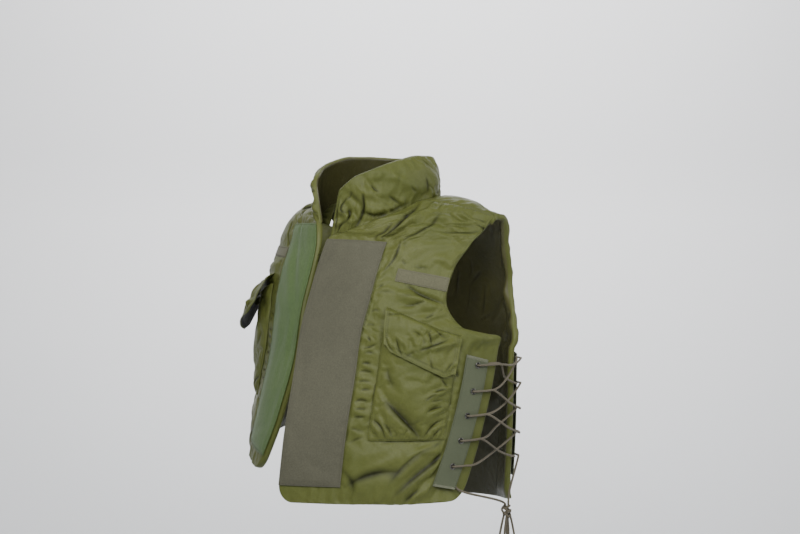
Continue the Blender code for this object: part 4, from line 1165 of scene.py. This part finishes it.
def closure_panel(name, panel, material):
    low, high = CLOSURE_ABOVE_HEM, panel.rise_of("chest_top") - CLOSURE_BELOW_NECK
    waves = CLOSURE_FOLDS + rumples((0.01, low + 0.01), (0.10, high - 0.05), 14, 0.09, 0.0007, 0.012, 1.4)
    edge_waves = puckers((0.113, 0.06), (0.113, 0.45), (-1, 0.1), 16, 0.014, 0.0009, 0.0045)

    def place(share, climb):
        along = CLOSURE_INSET + (CLOSURE_WIDTH - CLOSURE_INSET) * share
        rise = low + (high - low) * climb
        ripple = fold_relief(waves + edge_waves, along, rise)
        edge = smooth_step(0, 0.08, share) * smooth_step(0, 0.05, 1 - share)
        edge = edge * smooth_step(0, 0.02, climb) * smooth_step(0, 0.02, 1 - climb)
        middle = smooth_step(0, 0.3, share) * smooth_step(0, 0.3, 1 - share)
        lift = CLOSURE_LIFT + (0.0006 + 0.0020 * middle) * edge + np.maximum(ripple, -0.0024) * edge * 0.9
        from_sides = np.minimum(along - CLOSURE_INSET, CLOSURE_WIDTH - along)
        inside = np.minimum(from_sides, np.minimum(rise - low, high - rise))
        return along, rise, lift + 0.0005 - 0.0009 * sunk_line(inside, 0.0065, 0.0016)

    cells = (56, 190) if panel is LEFT else (40, 130)
    piece, _, _ = sheet_grid(name + "_pile", panel, place, *cells, material)
    thicken(piece, TAPE_THICK)
    attach(piece, name)
    return piece


def inner_facing(name, panel):
    """The rolled inner edge of a front under the collar's end, gathered by its seam."""
    low, high = panel.rise_of("chest_top") - 0.075, panel.rise_of("neck_corner") + 0.048
    gathers = puckers((0.008, 0.004), (0.008, high - low - 0.004), (1, 0.5), 18, 0.016, 0.0034, 0.0030)

    def place(share, climb):
        rise = low + (high - low) * climb
        wide = 0.026 * smooth_step(0.0, 0.25, climb) + 0.028 * smooth_step(0.42, 0.70, climb)
        wide = wide + 0.024 * smooth_step(0.60, 0.90, climb)
        gather = fold_relief(gathers, share * 0.022, rise - low)
        turned_in = 0.042 * smooth_step(0.05, 0.35, climb) - 0.008 * smooth_step(0.35, 0.55, climb)
        turned_in = share * (turned_in - 0.058 * smooth_step(0.6, 1.0, climb))
        return 0.006 - (0.006 + wide) * share, rise, -0.5 * PANEL_THICK - turned_in + gather

    piece, share, climb = sheet_grid(name + "_cloth", panel, place, 18, 90, FACING_IN_PAINTED_SHADE)
    # Painted shade in the gathers, and a little painted shade over the whole facing.
    note_shade(piece.data, fold_relief(gathers, share * 0.022, climb * (high - low)) - 0.0006)
    thicken(piece, CLOTH_THICK)
    piece.modifiers["Thickness"].use_even_offset = False
    attach(piece, "right_front")
    return piece


def name_tape(name, panel, tape):
    def place(share, climb):
        along = tape.along + NAME_TAPE_LENGTH * share
        rise = tape.rise - tape.drop * share + NAME_TAPE_HEIGHT * climb
        return along, rise, 0.0006 + 0.0005 * np.sin(math.pi * climb) * np.sin(math.pi * share) ** 0.3

    piece, _, _ = sheet_grid(name + "_cloth", panel, place, 36, 9, TAPE_CLOTH)
    thicken(piece, TAPE_THICK * 0.7)
    smooth_once(piece)
    attach(piece, name)
    return piece


def pouch_bulge(share, climb):
    sides = np.sin(math.pi * np.clip(share, 0, 1)) ** 0.6
    full = np.sin(math.pi * np.minimum(climb / 0.9, 1.0) * 0.5) ** 0.7
    settle_in = MOUTH_GAP + (POCKET_BULGE - MOUTH_GAP) * (1 - smooth_step(0.55, 1.0, climb))
    return sides * full * settle_in


def pocket(name, panel):
    width, low = POCKET_WIDTH, POCKET_ABOVE_HEM
    folds = []
    folds += puckers((width - 0.002, 0.02), (width - 0.002, 0.150), (-1, -0.4), 8, 0.036, 0.0030, 0.0055)
    folds += puckers((0.003, 0.01), (0.003, 0.190), (1, 0.1), 7, 0.016, 0.0007, 0.0045)
    folds += puckers((0.010, 0.003), (width - 0.01, 0.003), (-0.2, 1), 10, 0.022, 0.0024, 0.0050)
    folds += POCKET_FOLDS + rumples((0.015, 0.015), (width - 0.02, 0.14), 16, 0.040, 0.0012, 0.0070, 1.0)

    def place(share, climb):
        rise = low + (mouth_rise(share) - low) * climb
        sewn = smooth_step(0, 0.05, share) * smooth_step(0, 0.05, 1 - share) * smooth_step(0, 0.04, climb)
        relief = fold_relief(folds, share * width, rise - low)
        bulge = pouch_bulge(share, climb)
        return POCKET_FROM_EDGE + width * share, rise, 0.0006 + bulge * 0.92 + relief * np.maximum(sewn, 0.35)

    cells = (44, 66) if panel is LEFT else (34, 50)
    piece, share, climb = sheet_grid(name + "_cloth", panel, place, *cells, NYLON)
    across, up = share * width, (mouth_rise(share) - low) * climb
    remember_places(piece, across, up, np.ones(len(share)))
    held = (share < 0.001) | (share > 0.999) | (climb < 0.001) | (climb > 0.999)
    make_loose(piece, held, 0.8, 0.03)
    attach(piece, name)
    return piece


def flap_spot(share, climb, raised, seam_lift):
    """A place on a flap: climb is 0 at its free lower edge and 1 where it is sewn on."""
    rise = mouth_rise(share) + FLAP_ABOVE_MOUTH - FLAP_HEIGHT * (1 - climb)
    corner = 0.014 * smooth_step(0.82, 1.0, share) + 0.008 * smooth_step(0.12, 0.0, share)
    rise = rise + corner * (1 - climb) ** 2 + 0.008 * np.clip(1 - share, 0, 1) * climb
    pouch_share = np.clip(share, 0, 1)
    up_pouch = (rise - POCKET_ABOVE_HEM) / (mouth_rise(pouch_share) - POCKET_ABOVE_HEM)
    under = pouch_bulge(pouch_share, np.minimum(up_pouch, 1.0))
    sewn = smooth_step(0.84, 1.0, climb)
    lift = seam_lift + (1 - sewn) * np.maximum(under + CLOTH_THICK + FLAP_CLEAR, 0.6 * POCKET_BULGE)
    lift = lift + raised * (1 - climb) ** 0.8 + FLAP_STAND_OFF * (1 - climb) ** 3
    taper = FLAP_TAPER * (1 - climb) * (1 - 1.5 * share)
    return POCKET_FROM_EDGE + POCKET_WIDTH * (1.09 * share - 0.05 + taper), rise, lift


def flap_seams(share, climb):
    """One along the sunk lines of the flap's hem and of its seam on the front."""
    inside = np.minimum(np.minimum(share, 1 - share) * POCKET_WIDTH, climb * FLAP_HEIGHT)
    return np.maximum(sunk_line(inside, 0.0072, 0.0013),
                      sunk_line(climb * FLAP_HEIGHT, 0.94 * FLAP_HEIGHT, 0.0014))


def flap_folds(raised):
    width, height = FLAP_WIDTH, FLAP_HEIGHT
    top = height - 0.004
    folds = puckers((0.005, top), (width - 0.005, top), (0.1, -1), 8, 0.022, 0.0016, 0.0050)
    folds += puckers((0.010, 0.010), (width - 0.010, 0.010), (-0.1, 1), 9, 0.016, 0.0016, 0.0042)
    folds += FLAP_FOLDS + rumples((0.01, 0.01), (width - 0.02, height - 0.02), 12, 0.030, 0.0012, 0.0050, 0.8)
    return folds + RAISED_FLAP_FOLDS if raised else folds


def pocket_flap(name, panel, raised):
    folds = flap_folds(raised)
    lowest = -0.0010 if raised else -0.0026

    def place(share, climb):
        along, rise, lift = flap_spot(share, climb, raised, FLAP_LIFT)
        across, up = share * FLAP_WIDTH, climb * FLAP_HEIGHT
        relief = fold_relief(folds, across, up) * (1 - smooth_step(0.9, 1.0, climb))
        sharp = fold_relief(FLAP_CREASES, across, up, sharp_crease)
        return along, rise, lift + np.maximum(relief + sharp, lowest) - 0.0004 * flap_seams(share, climb)

    piece, share, climb = sheet_grid(name + "_cloth", panel, place, 92, 60, NYLON)
    # Painted shade in the flap's creases and along its sunk seam lines.
    depth = fold_relief(FLAP_CREASES, share * FLAP_WIDTH, climb * FLAP_HEIGHT, sharp_crease)
    depth -= 0.0007 * flap_seams(share, climb)
    note_shade(piece.data, depth)
    thicken(piece, CLOTH_THICK)
    attach(piece, name)
    return piece


def flap_tape(name, panel, raised):
    """The fastener tape along the underside of the raised flap's free edge, reaching up about half the flap,
    further than the tape itself, to stand in for the shade under the flap too.
    """

    def place(share, climb):
        # Painted shade: the dark tape is widened past the real tape over the shaded underside of the flap.
        return flap_spot(0.03 + 0.94 * share, 0.04 + 0.52 * climb, raised, FLAP_LIFT - 0.0008)

    piece, _, _ = sheet_grid(name + "_pile", panel, place, 30, 8, BLACK)
    thicken(piece, TAPE_THICK * 0.7, outward=False)
    smooth_once(piece)
    attach(piece, name)
    return piece


# Lacing


def vector(points):
    return Vector(np.asarray(points, float).ravel())


def eyelet_places(panel, bottom):
    top = bottom + LACE_STRIP_LENGTH - FIRST_EYELET_DROP
    from_edge = LACE_STRIP_FROM_EDGE + 0.45 * LACE_STRIP_WIDTH
    rises = [top - EYELET_PITCH * k for k in range(EYELET_COUNT)]
    return [(float(panel.width(rise)) - from_edge, rise) for rise in rises]


def eyelet_frame(panel, along, rise):
    """The eyelet's axes as columns: towards the laced edge, up, and out of the face; then its centre."""
    out = vector(panel.normal(along, rise))
    centre = vector(panel.over(along, rise, LACE_STRIP_LIFT))
    towards = (vector(panel.over(along + 0.004, rise, LACE_STRIP_LIFT)) - centre).normalized()
    up = out.cross(towards).normalized()
    return Matrix.Translation(centre) @ Matrix((towards, up, out)).transposed().to_4x4()


def lace_strip(prefix, panel, bottom):
    """The strip, with a round hole at each eyelet."""

    def place(share, climb):
        rise = bottom + LACE_STRIP_LENGTH * climb + LACE_STRIP_SLANT * (0.5 - share)
        from_edge = LACE_STRIP_FROM_EDGE + LACE_STRIP_WIDTH * (1 - share)
        wave = 0.0004 * np.sin(rise * 130) * np.sin(share * math.pi)
        return panel.width(rise) - from_edge, rise, LACE_STRIP_LIFT - 0.0009 + wave

    piece, _, _ = sheet_grid(prefix + "_strip_webbing", panel, place, 26, 126, WEBBING)
    bm = bmesh.new()
    bm.from_mesh(piece.data)
    for along, rise in eyelet_places(panel, bottom):
        frame_here = eyelet_frame(panel, along, rise)
        back = frame_here.inverted()
        inside = [v for v in bm.verts if (back @ v.co).xy.length < EYELET_HOLE]
        bmesh.ops.delete(bm, geom=inside, context="VERTS")
        for v in bm.verts:
            local = back @ v.co
            if v.is_boundary and local.xy.length < 1.6 * EYELET_HOLE:
                ring = local.xy.normalized() * (EYELET_HOLE + 0.0002)
                v.co = frame_here @ Vector((ring.x, ring.y, local.z))
    bm.to_mesh(piece.data)
    bm.free()
    thicken(piece, 0.0016)
    attach(piece, prefix + "_lace_strip")
    return piece


def eyelets(prefix, panel, bottom):
    """Grommets turned about their axes, with a rolled flange."""
    base = 0.0012
    roll = [(math.cos(a) * 0.00115, math.sin(a) * 0.00115) for a in np.linspace(math.pi, 0, 7)]
    middle = (EYELET_BORE + EYELET_FLANGE) / 2
    profile = [(EYELET_BORE, -0.0010)] + [(middle + dx * 1.1, base + dz * 0.85) for dx, dz in roll]
    profile += [(EYELET_BARREL, base - 0.0001), (EYELET_BARREL, -0.0010)]
    for k, (along, rise) in enumerate(eyelet_places(panel, bottom), 1):
        bm = bmesh.new()
        corners = [bm.verts.new((r, 0, z)) for r, z in profile]
        edges = [bm.edges.new((a, b)) for a, b in zip(corners, corners[1:] + corners[:1])]
        bmesh.ops.spin(bm, geom=corners + edges, axis=(0, 0, 1), cent=(0, 0, 0), angle=math.tau, steps=28)
        bmesh.ops.remove_doubles(bm, verts=bm.verts, dist=0.00001)
        bmesh.ops.recalc_face_normals(bm, faces=bm.faces)
        for face in bm.faces:
            face.smooth = True
        mesh = bpy.data.meshes.new(f"{prefix}_ring_{k}")
        bm.to_mesh(mesh)
        bm.free()
        mesh.materials.append(METAL)
        mesh.transform(eyelet_frame(panel, along, rise))
        attach(add_object(mesh.name, mesh), f"{prefix}_eyelet_{k}")


class Lacing:
    """One side's lacing: where the cord leaves each eyelet, over or under its strip."""

    def __init__(self, front, back):
        self.panels = {"F": (front, FRONT_STRIP_RISE), "B": (back, BACK_STRIP_RISE)}

    def turn(self, stop, level):
        """Points from an eyelet out past the laced edge, over (+1) or under (-1) the strip."""
        panel, bottom = self.panels[stop[0]]
        along, rise = eyelet_places(panel, bottom)[int(stop[1]) - 1]
        here = eyelet_frame(panel, along, rise)
        edge = float(panel.width(rise)) - along - 0.0005
        if level > 0:
            route = [(0.0006, 0.0036), (0.0060, 0.0052), (0.0240, 0.0050), (edge - 0.012, 0.0044)]
        else:
            route = [(0.0006, -0.0034), (0.0060, -0.0046), (edge, -0.0038)]
        found = [here @ Vector((way, 0, height)) for way, height in route[:2]]
        for way, height in route[2:]:
            found.append(vector(panel.over(along + way, rise, LACE_STRIP_LIFT + height)))
        return found

    def tail(self, stop):
        """Points from an eyelet down under its strip, out at the strip's lower end and off the hem corner."""
        panel, bottom = self.panels[stop[0]]
        edge = LACE_STRIP_FROM_EDGE
        route = [(edge + 0.010, bottom + 0.012, -0.0028), (edge - 0.006, bottom - 0.004, -0.0014),
                 (edge - 0.018, bottom - 0.010, 0.0040)]
        out = [vector(panel.over(float(panel.width(r)) - e, r, lift)) for e, r, lift in route]
        return self.turn(stop, -1)[:2] + out

    def crossing(self, run):
        start, end = self.turn(run.start, run.start_level), self.turn(run.end, run.end_level)
        middle = start[-1].lerp(end[-1], 0.5)
        out = (middle * Vector((1, 1, 0))).normalized()
        return start + [middle + out * run.bow + LACE_SAG] + end[::-1]


def lace_route(lacing, knot, side):
    """The lace's route from its end in the knot to its other end in the knot."""
    points = [knot + Vector((0, 0.0035, 0.0100)), knot + Vector((-0.001 * side, 0.005, 0.018))]
    points.append(knot + Vector((-0.006 * side, 0.013, 0.030)))
    points += lacing.turn("B5", 1)[::-1]
    for run in LACE_RUNS:
        points += lacing.crossing(run)
    points += lacing.tail("F5")
    return points + [knot + Vector((-0.001 * side, -0.007, 0.016)), knot + Vector((0, -0.0035, 0.0096))]


def smooth_path(points, step):
    """A Catmull-Rom curve through the points, in steps of about the given length."""
    points = np.array([tuple(p) for p in points])
    ends = np.concatenate([[2 * points[0] - points[1]], points, [2 * points[-1] - points[-2]]])
    path = []
    for a, b, c, d in zip(ends, ends[1:], ends[2:], ends[3:]):
        ab, bc, cd = (max(np.linalg.norm(q - p), 1e-6) ** 0.5 for p, q in ((a, b), (b, c), (c, d)))
        into = (b - a) / ab - (c - a) / (ab + bc) + (c - b) / bc
        out = (c - b) / bc - (d - b) / (bc + cd) + (d - c) / cd
        into, out = into * bc, out * bc
        count = max(2, round(np.linalg.norm(c - b) / step))
        t = (np.arange(count) / count)[:, None]
        path.append((2 * t**3 - 3 * t**2 + 1) * b + (t**3 - 2 * t**2 + t) * into
                    + (3 * t**2 - 2 * t**3) * c + (t**3 - t**2) * out)
    return np.concatenate(path + [points[-1:]])


def braided_tube(name, paths, diameter, material):
    """Round cords along paths, with the low relief of a braid, as one mesh."""
    sides = 10
    all_points, faces = [], []
    for path in paths:
        tangents = unit(np.gradient(path, axis=0))
        normal = unit(np.cross(tangents[0], (0.3, 0.2, 1.0)))
        travelled = distances(path)
        base = sum(len(p) for p in all_points)
        for k, (p, tangent) in enumerate(zip(path, tangents)):
            normal = unit(normal - tangent * (normal @ tangent))
            side = np.cross(tangent, normal)
            angles = np.arange(sides) * math.tau / sides
            turn = travelled[k] / diameter * 2.2
            braid = np.sin(angles * 2 + turn) * np.sin(angles * 2 - turn)
            radius = diameter / 2 * (0.97 + 0.07 * braid)
            if k in (0, len(path) - 1):
                radius = radius * 0.75
            ring = p + radius[:, None] * (np.cos(angles)[:, None] * normal + np.sin(angles)[:, None] * side)
            all_points.append(ring)
        for k in range(len(path) - 1):
            for s in range(sides):
                a, b = base + k * sides + s, base + k * sides + (s + 1) % sides
                faces.append((a, b, b + sides, a + sides))
        last = base + (len(path) - 1) * sides
        faces.append(tuple(range(base, base + sides))[::-1])
        faces.append(tuple(range(last, last + sides)))
    return new_piece(name, np.concatenate(all_points), faces, material)


def cord_loop(knot, side, x, spread, swing, length):
    """A hanging loop of the bow: out of the knot on one side, down and round, and back in on the other."""
    points = []
    for k in range(13):
        turn = math.pi * k / 12
        across = -0.0035 * math.cos(turn) - spread * math.sin(2 * turn)
        down = length * math.sin(turn)
        points.append(knot + Vector(((x + swing * down) * side, across, -down - 0.001)))
    return points


def knot_wraps(knot):
    """The turns of cord that make the knot, round and over one another."""
    wraps = []
    turns = ((0.5, 0.0075, 1.0), (-0.7, 0.0035, 1.25), (0.6, -0.0010, 1.3), (-0.5, -0.0055, 1.1))
    for tilt, height, wide in turns:
        points = []
        for k in range(15):
            turn = math.tau * k / 14 + tilt
            across = Vector((math.cos(turn) * 0.0046, math.sin(turn) * 0.0052, 0)) * wide
            points.append(knot + across + Vector((0, 0, height + math.sin(turn + 1) * 0.0052 * tilt)))
        wraps.append(smooth_path(points, 0.0012))
    over = [(-0.004, -0.001, 0.011), (-0.006, -0.007, 0.004), (0.000, -0.0095, -0.001),
            (0.006, -0.006, -0.007), (0.004, 0.000, -0.011)]
    wraps.append(smooth_path([knot + Vector(p) for p in over], 0.0012))
    return wraps


def lace(prefix, lacing, knot, side):
    """The lace, the knot of its two ends, and what hangs from the knot: two loops and a tail."""
    route = smooth_path(lace_route(lacing, knot, side), 0.0016)
    cord = braided_tube(prefix + "_lace_cord", [route], LACE_DIAMETER, CORD)
    attach(cord, prefix + "_lace")
    wraps = braided_tube(prefix + "_knot", knot_wraps(knot), LACE_DIAMETER, CORD)
    attach(wraps, prefix + "_bow")
    hanging = (
        ("outer_loop", cord_loop(knot, side, 0.0027, 0.014, 0.06, 0.098), "knot"),
        ("inner_loop", cord_loop(knot, side, -0.0027, 0.011, -0.09, 0.082), "knot"),
        ("tail", [knot + Vector((0, 0, -d)) for d in (0.0, 0.02, 0.045, 0.07, 0.115)], "bare"),
    )
    for name, points, far_end in hanging:
        path = smooth_path(points, 0.0016)
        piece = braided_tube(f"{prefix}_{name}", [path], LACE_DIAMETER, CORD)
        attach(piece, prefix + "_bow")


# Stitching


def stitches(name, lines, surface, material, pitch=0.0036, length=0.0026, thickness=0.0008):
    """Rows of thread stitches along lines that lie near a surface, pressed into it."""
    tree = surface_of(surface)
    points, faces = [], []
    for line in lines:
        line = np.asarray(line)
        travelled = distances(line)
        marks = np.arange(pitch / 2, travelled[-1], pitch)
        spots, ahead = (np.stack([np.interp(at, travelled, axis) for axis in line.T], axis=1)
                        for at in (marks, marks + 0.001))
        ways = unit(ahead - spots)
        for spot, way in zip(spots, ways):
            found, normal, _, _ = tree.find_nearest(Vector(spot))
            if found is None:
                continue
            way = Vector(way)
            way = (way - normal * way.dot(normal)).normalized()
            side = normal.cross(way)
            first = len(points)
            for share, size, lift in ((-0.5, 0.5, -0.4), (0.0, 1, 0.5), (0.5, 0.5, -0.4)):
                middle = found + way * share * length + normal * lift * thickness
                half = thickness * size / 2
                points += [middle + off for off in (side * half, normal * half, -side * half, -normal * half)]
            for k in range(2):
                for s in range(4):
                    a, b = first + k * 4 + s, first + k * 4 + (s + 1) % 4
                    faces.append((a, b, b + 4, a + 4))
            faces.append((first + 3, first + 2, first + 1, first))
            faces.append((first + 8, first + 9, first + 10, first + 11))
    piece = new_piece(name, [tuple(p) for p in points], faces, material)
    attach(piece, None)
    return piece


def along_corners(corners, steps):
    """Even steps along a line of (along, rise) or (share, climb) corners, as two arrays."""
    corners = np.array(corners, float)
    t = np.linspace(0, len(corners) - 1, steps * (len(corners) - 1) + 1)
    return [np.interp(t, np.arange(len(corners)), part) for part in corners.T]


def frame_line(low_along, high_along, low_rise, high_rise):
    return [(low_along, low_rise), (high_along, low_rise), (high_along, high_rise), (low_along, high_rise),
            (low_along, low_rise)]


def closure_stitching(prefix, panel, closure, thread):
    inset = 0.003
    top = panel.rise_of("chest_top") - CLOSURE_BELOW_NECK
    corners = frame_line(CLOSURE_INSET + inset, CLOSURE_WIDTH - inset, CLOSURE_ABOVE_HEM + inset, top - inset)
    line = panel.over(*along_corners(corners, 80), 0.003)
    stitches(prefix + "_closure_stitches", [line], closure, thread)


def tape_stitching(prefix, panel, tape, cloth):
    inset, drop = 0.002, tape.drop
    left, right, top = inset, NAME_TAPE_LENGTH - inset, NAME_TAPE_HEIGHT - inset
    corners = [(left, inset), (right, inset - drop), (right, top - drop), (left, top), (left, inset)]
    along, rise = along_corners(corners, 40)
    line = panel.over(tape.along + along, tape.rise + rise, 0.002)
    stitches(prefix + "_tape_stitches", [line], cloth, GREY_THREAD)


def pocket_stitching(prefix, panel, cloth):
    """Two rows down the pocket's sides and along its bottom."""
    inner, outer, low = POCKET_FROM_EDGE, POCKET_FROM_EDGE + POCKET_WIDTH, POCKET_ABOVE_HEM
    rows = []
    for inset in (0.002, 0.008):
        corners = [(inner + inset, mouth_rise(0) - 0.03), (inner + inset, low + inset),
                   (outer - inset, low + inset), (outer - inset, mouth_rise(1) - 0.03)]
        rows.append(panel.over(*along_corners(corners, 40), 0.004))
    stitches(prefix + "_pocket_stitches", rows, cloth, THREAD)


def flap_stitching(prefix, panel, raised, cloth):
    """Two rows round the flap's free edges and one along its seam."""
    rows = []
    for inset in (0.03, 0.11):
        side, low = 0.03 + inset * 0.3, 0.03 + inset
        corners = np.array([(0.03, 0.93), (0.03, 0.4), (side, low), (0.25, inset), (0.5, inset),
                            (0.75, inset), (1 - side, low), (0.97, 0.4), (0.97, 0.93)])
        t = np.linspace(0, len(corners) - 1, 240)
        share, climb = (np.interp(t, np.arange(len(corners)), part) for part in corners.T)
        rows.append(panel.over(*flap_spot(share, climb, raised, FLAP_LIFT + CLOTH_THICK)))
    seam = flap_spot(np.linspace(0.02, 0.98, 60), np.full(60, 0.965), raised, 0.003)
    rows.append(panel.over(*seam))
    stitches(prefix + "_flap_stitches", rows, cloth, THREAD)


def shoulder_seam(panel):
    along = np.linspace(0.006, float(panel.width(panel.top)) - 0.006, 50)
    return panel.over(along, np.full(50, panel.top - STITCH_INSET), 0.002)


def shell_stitching(prefix, panel, shell):
    """Rows along a front's laced side, armhole, neck and shoulder seam."""
    rises = np.linspace(0.03, panel.rise_of("side_top"), 60)
    arm = np.linspace(panel.rise_of("arm_low") + 0.01, panel.top - 0.01, 60)
    neck = np.linspace(panel.rise_of("chest_top"), panel.top, 60)
    lines = [panel.over(panel.width(part) - STITCH_INSET, part, 0.002) for part in (rises, arm)]
    lines += [panel.over(np.full(60, 0.006), neck, 0.002), shoulder_seam(panel)]
    stitches(prefix + "_front_stitches", lines, shell, THREAD)


def back_stitching(shell):
    lines = []
    for panel in (BACK, BACK_RIGHT):
        rises = np.linspace(0.03, panel.top - 0.01, 120)
        lines += [panel.over(panel.width(rises) - STITCH_INSET, rises, 0.002), shoulder_seam(panel)]
    stitches("back_stitches", lines, shell, THREAD)


def strip_stitching(prefix, panel, bottom, strip):
    """Straight rows down the strip's sides, and a pale zigzag across its two ends."""
    width = LACE_STRIP_WIDTH

    def spot(share, climb):
        rise = bottom + LACE_STRIP_LENGTH * climb + LACE_STRIP_SLANT * (0.5 - share)
        return panel.width(rise) - LACE_STRIP_FROM_EDGE - width * (1 - share), rise

    climbs = np.linspace(0.01, 0.99, 80)
    rows = [panel.over(*spot(np.full(80, share), climbs), 0.003) for share in (0.05, 0.95)]
    stitches(prefix + "_strip_stitches", rows, strip, THREAD)
    across = np.linspace(0.03, 0.97, 37)
    zigzag = np.where(np.arange(37) % 2, 0.982, 0.998)
    ends = [panel.over(*spot(across, climb), 0.003) for climb in (zigzag, 1 - zigzag)]
    stitches(prefix + "_strip_zigzag", ends, strip, PALE_THREAD, 0.0022, 0.0022, 0.0007)


# Putting it together


def padded_pieces():
    """The shells and the pockets' faces, settled together by the simulation."""
    shells = {
        "left": front_shell("left_front", LEFT, LEFT_TAPE, LEFT_FOLDS, LEFT_CELL),
        "right": front_shell("right_front", RIGHT, RIGHT_TAPE, RIGHT_FOLDS, RIGHT_CELL),
        "back": back_shell(),
        "collar": collar_shell(),
    }
    pockets = {"left": pocket("left_pocket", LEFT), "right": pocket("right_pocket", RIGHT)}
    caps = [(shell, SHELL_CAP) for shell in shells.values()]
    settle(caps + [(face, POCKET_CAP) for face in pockets.values()])
    front_scatter = scattered_creases((0.12, 0.02), (0.36, 0.66), 34, 0.030, 0.0012, 0.0030, 0.4)
    refine(shells["left"], LEFT_CREASES + front_scatter + seam_creases(LEFT))
    refine(shells["right"], LEFT_CREASES + front_scatter[::-1] + seam_creases(RIGHT))
    back_scatter = scattered_creases((-0.23, 0.02), (0.22, 0.70), 110, 0.045, 0.0011, 0.0060, 0.3)
    lining_scatter = scattered_creases((-0.23, 0.04), (0.22, 0.66), 60, 0.050, 0.0026, 0.0040, 1.0)
    refine(shells["back"], back_scatter, lining_scatter)
    collar_scatter = scattered_creases((-0.35, 0.01), (0.15, 0.075), 44, 0.026, 0.0018, 0.0030, 0.7)
    refine(shells["collar"], collar_creases() + collar_scatter)
    for prefix, face in pockets.items():
        refine(face, POCKET_CREASES)
        thicken(face, CLOTH_THICK)
    return shells, pockets


def front_pieces(prefix, panel, tape, material, raised, shell, pouch):
    """What is sewn on one front, with its stitches."""
    closure = closure_panel(prefix + "_closure_panel", panel, material)
    label = name_tape(prefix + "_name_tape", panel, tape)
    flap = pocket_flap(prefix + "_pocket_flap", panel, raised)
    if material is GREY:
        closure_stitching(prefix, panel, closure, GREY_THREAD)
    else:
        closure_stitching(prefix, panel, closure, THREAD)
    tape_stitching(prefix, panel, tape, label)
    pocket_stitching(prefix, panel, pouch)
    flap_stitching(prefix, panel, raised, flap)
    shell_stitching(prefix, panel, shell)


def build():
    camera()
    laces()
    shells, pockets = padded_pieces()
    front_pieces("left", LEFT, LEFT_TAPE, GREY, 0.0, shells["left"], pockets["left"])
    front_pieces("right", RIGHT, RIGHT_TAPE, GREEN, FLAP_RAISE, shells["right"], pockets["right"])
    flap_tape("right_flap_tape", RIGHT, FLAP_RAISE)
    inner_facing("right_inner_facing", RIGHT)
    strips = (("left_front", LEFT, FRONT_STRIP_RISE), ("left_back", BACK, BACK_STRIP_RISE),
              ("right_front", RIGHT, FRONT_STRIP_RISE), ("right_back", BACK_RIGHT, BACK_STRIP_RISE))
    for prefix, panel, bottom in strips:
        strip = lace_strip(prefix, panel, bottom)
        eyelets(prefix, panel, bottom)
        strip_stitching(prefix, panel, bottom, strip)
    back_stitching(shells["back"])


def laces():
    lace("left", Lacing(LEFT, BACK), LEFT_KNOT, 1)
    lace("right", Lacing(RIGHT, BACK_RIGHT), RIGHT_KNOT, -1)


def camera():
    data = bpy.data.cameras.new("camera")
    data.lens = LENS
    data.sensor_width = 36
    eye = add_object("camera", data)
    eye.location = (math.sin(VIEW_AZIMUTH) * VIEW_DISTANCE, -math.cos(VIEW_AZIMUTH) * VIEW_DISTANCE,
                    VIEW_HEIGHT)
    eye.rotation_euler = (math.pi / 2 - VIEW_PITCH, 0, VIEW_AZIMUTH - VIEW_YAW)
    bpy.context.scene.camera = eye


def area_light(name, location, target, size, power, colour, spread=180):
    data = bpy.data.lights.new(name, "AREA")
    data.size = size
    data.energy = power
    data.spread = math.radians(spread)
    data.color = colour
    lamp = add_object(name, data)
    lamp.location = location
    lamp.rotation_euler = (Vector(target) - Vector(location)).to_track_quat("-Z", "Y").to_euler()


def studio():
    """A pale floor that curves up into a pale backdrop, painted darker towards the floor as painted shade,
    and soft lights.

    A light's row is its name, place, target, size, power, colour and, if not 180, spread."""
    pale, tree, shader = new_material("backdrop")
    shader.inputs["Roughness"].default_value = 0.9
    parts = node(tree, "SeparateXYZ")
    tree.links.new(node(tree, "TexCoord").outputs["Object"], parts.inputs["Vector"])
    # Painted shade: the backdrop's colour darkens from about the middle height down to the floor.
    fade = stretched(tree, parts.outputs["Z"], FLOOR_HEIGHT, -0.1)
    tree.links.new(mixed(tree, fade, (0.56, 0.57, 0.58), (0.80, 0.80, 0.81)), shader.inputs["Base Color"])
    profile = [(-6.0, FLOOR_HEIGHT)]
    for a in np.linspace(0, math.pi / 2, 16):
        out, up = BACKDROP_BEND * math.sin(a), BACKDROP_BEND * (1 - math.cos(a))
        profile.append((BACKDROP_REACH - BACKDROP_BEND + out, FLOOR_HEIGHT + up))
    profile.append((BACKDROP_REACH, 5.0))
    ahead = Vector((-math.sin(VIEW_AZIMUTH), math.cos(VIEW_AZIMUTH), 0))
    side = Vector((math.cos(VIEW_AZIMUTH), math.sin(VIEW_AZIMUTH), 0))
    points = [ahead * d + side * s + Vector((0, 0, z)) for d, z in profile for s in (-7.0, 7.0)]
    faces = [(2 * k, 2 * k + 1, 2 * k + 3, 2 * k + 2) for k in range(len(profile) - 1)]
    new_piece("backdrop", [tuple(p) for p in points], faces, pale)
    world = bpy.context.scene.world or bpy.data.worlds.new("World")
    bpy.context.scene.world = world
    world.use_nodes = True
    sky = world.node_tree.nodes["Background"]
    sky.inputs["Color"].default_value = (0.93, 0.95, 1.0, 1)
    sky.inputs["Strength"].default_value = 0.33
    for row in (
        ("key", (0.4, -1.9, 1.45), (0, 0, 0.0), 0.8, 25, (1.0, 0.99, 0.96)),
        ("front", (1.15, -1.4, 0.80), (0, 0, 0.05), 0.7, 19, (1.0, 1.0, 1.0)),
        ("fill", (2.7, -0.8, 0.9), (0, 0, 0.0), 1.2, 35, (0.97, 0.98, 1.0)),
        ("rim", (2.2, 1.9, 0.6), (0, 0, -0.3), 1.2, 20, (1.0, 1.0, 1.0)),
        ("top", (-0.4, 1.2, 2.6), (0, 0, 0), 1.4, 4, (1.0, 1.0, 1.0)),
        ("backdrop_light", (-0.4, 0.9, 2.9), (-1.9, 2.1, 1.0), 2.4, 138, (1.0, 1.0, 1.0), 115),
    ):
        area_light(*row)


build()
studio()
bpy.context.view_layer.update()
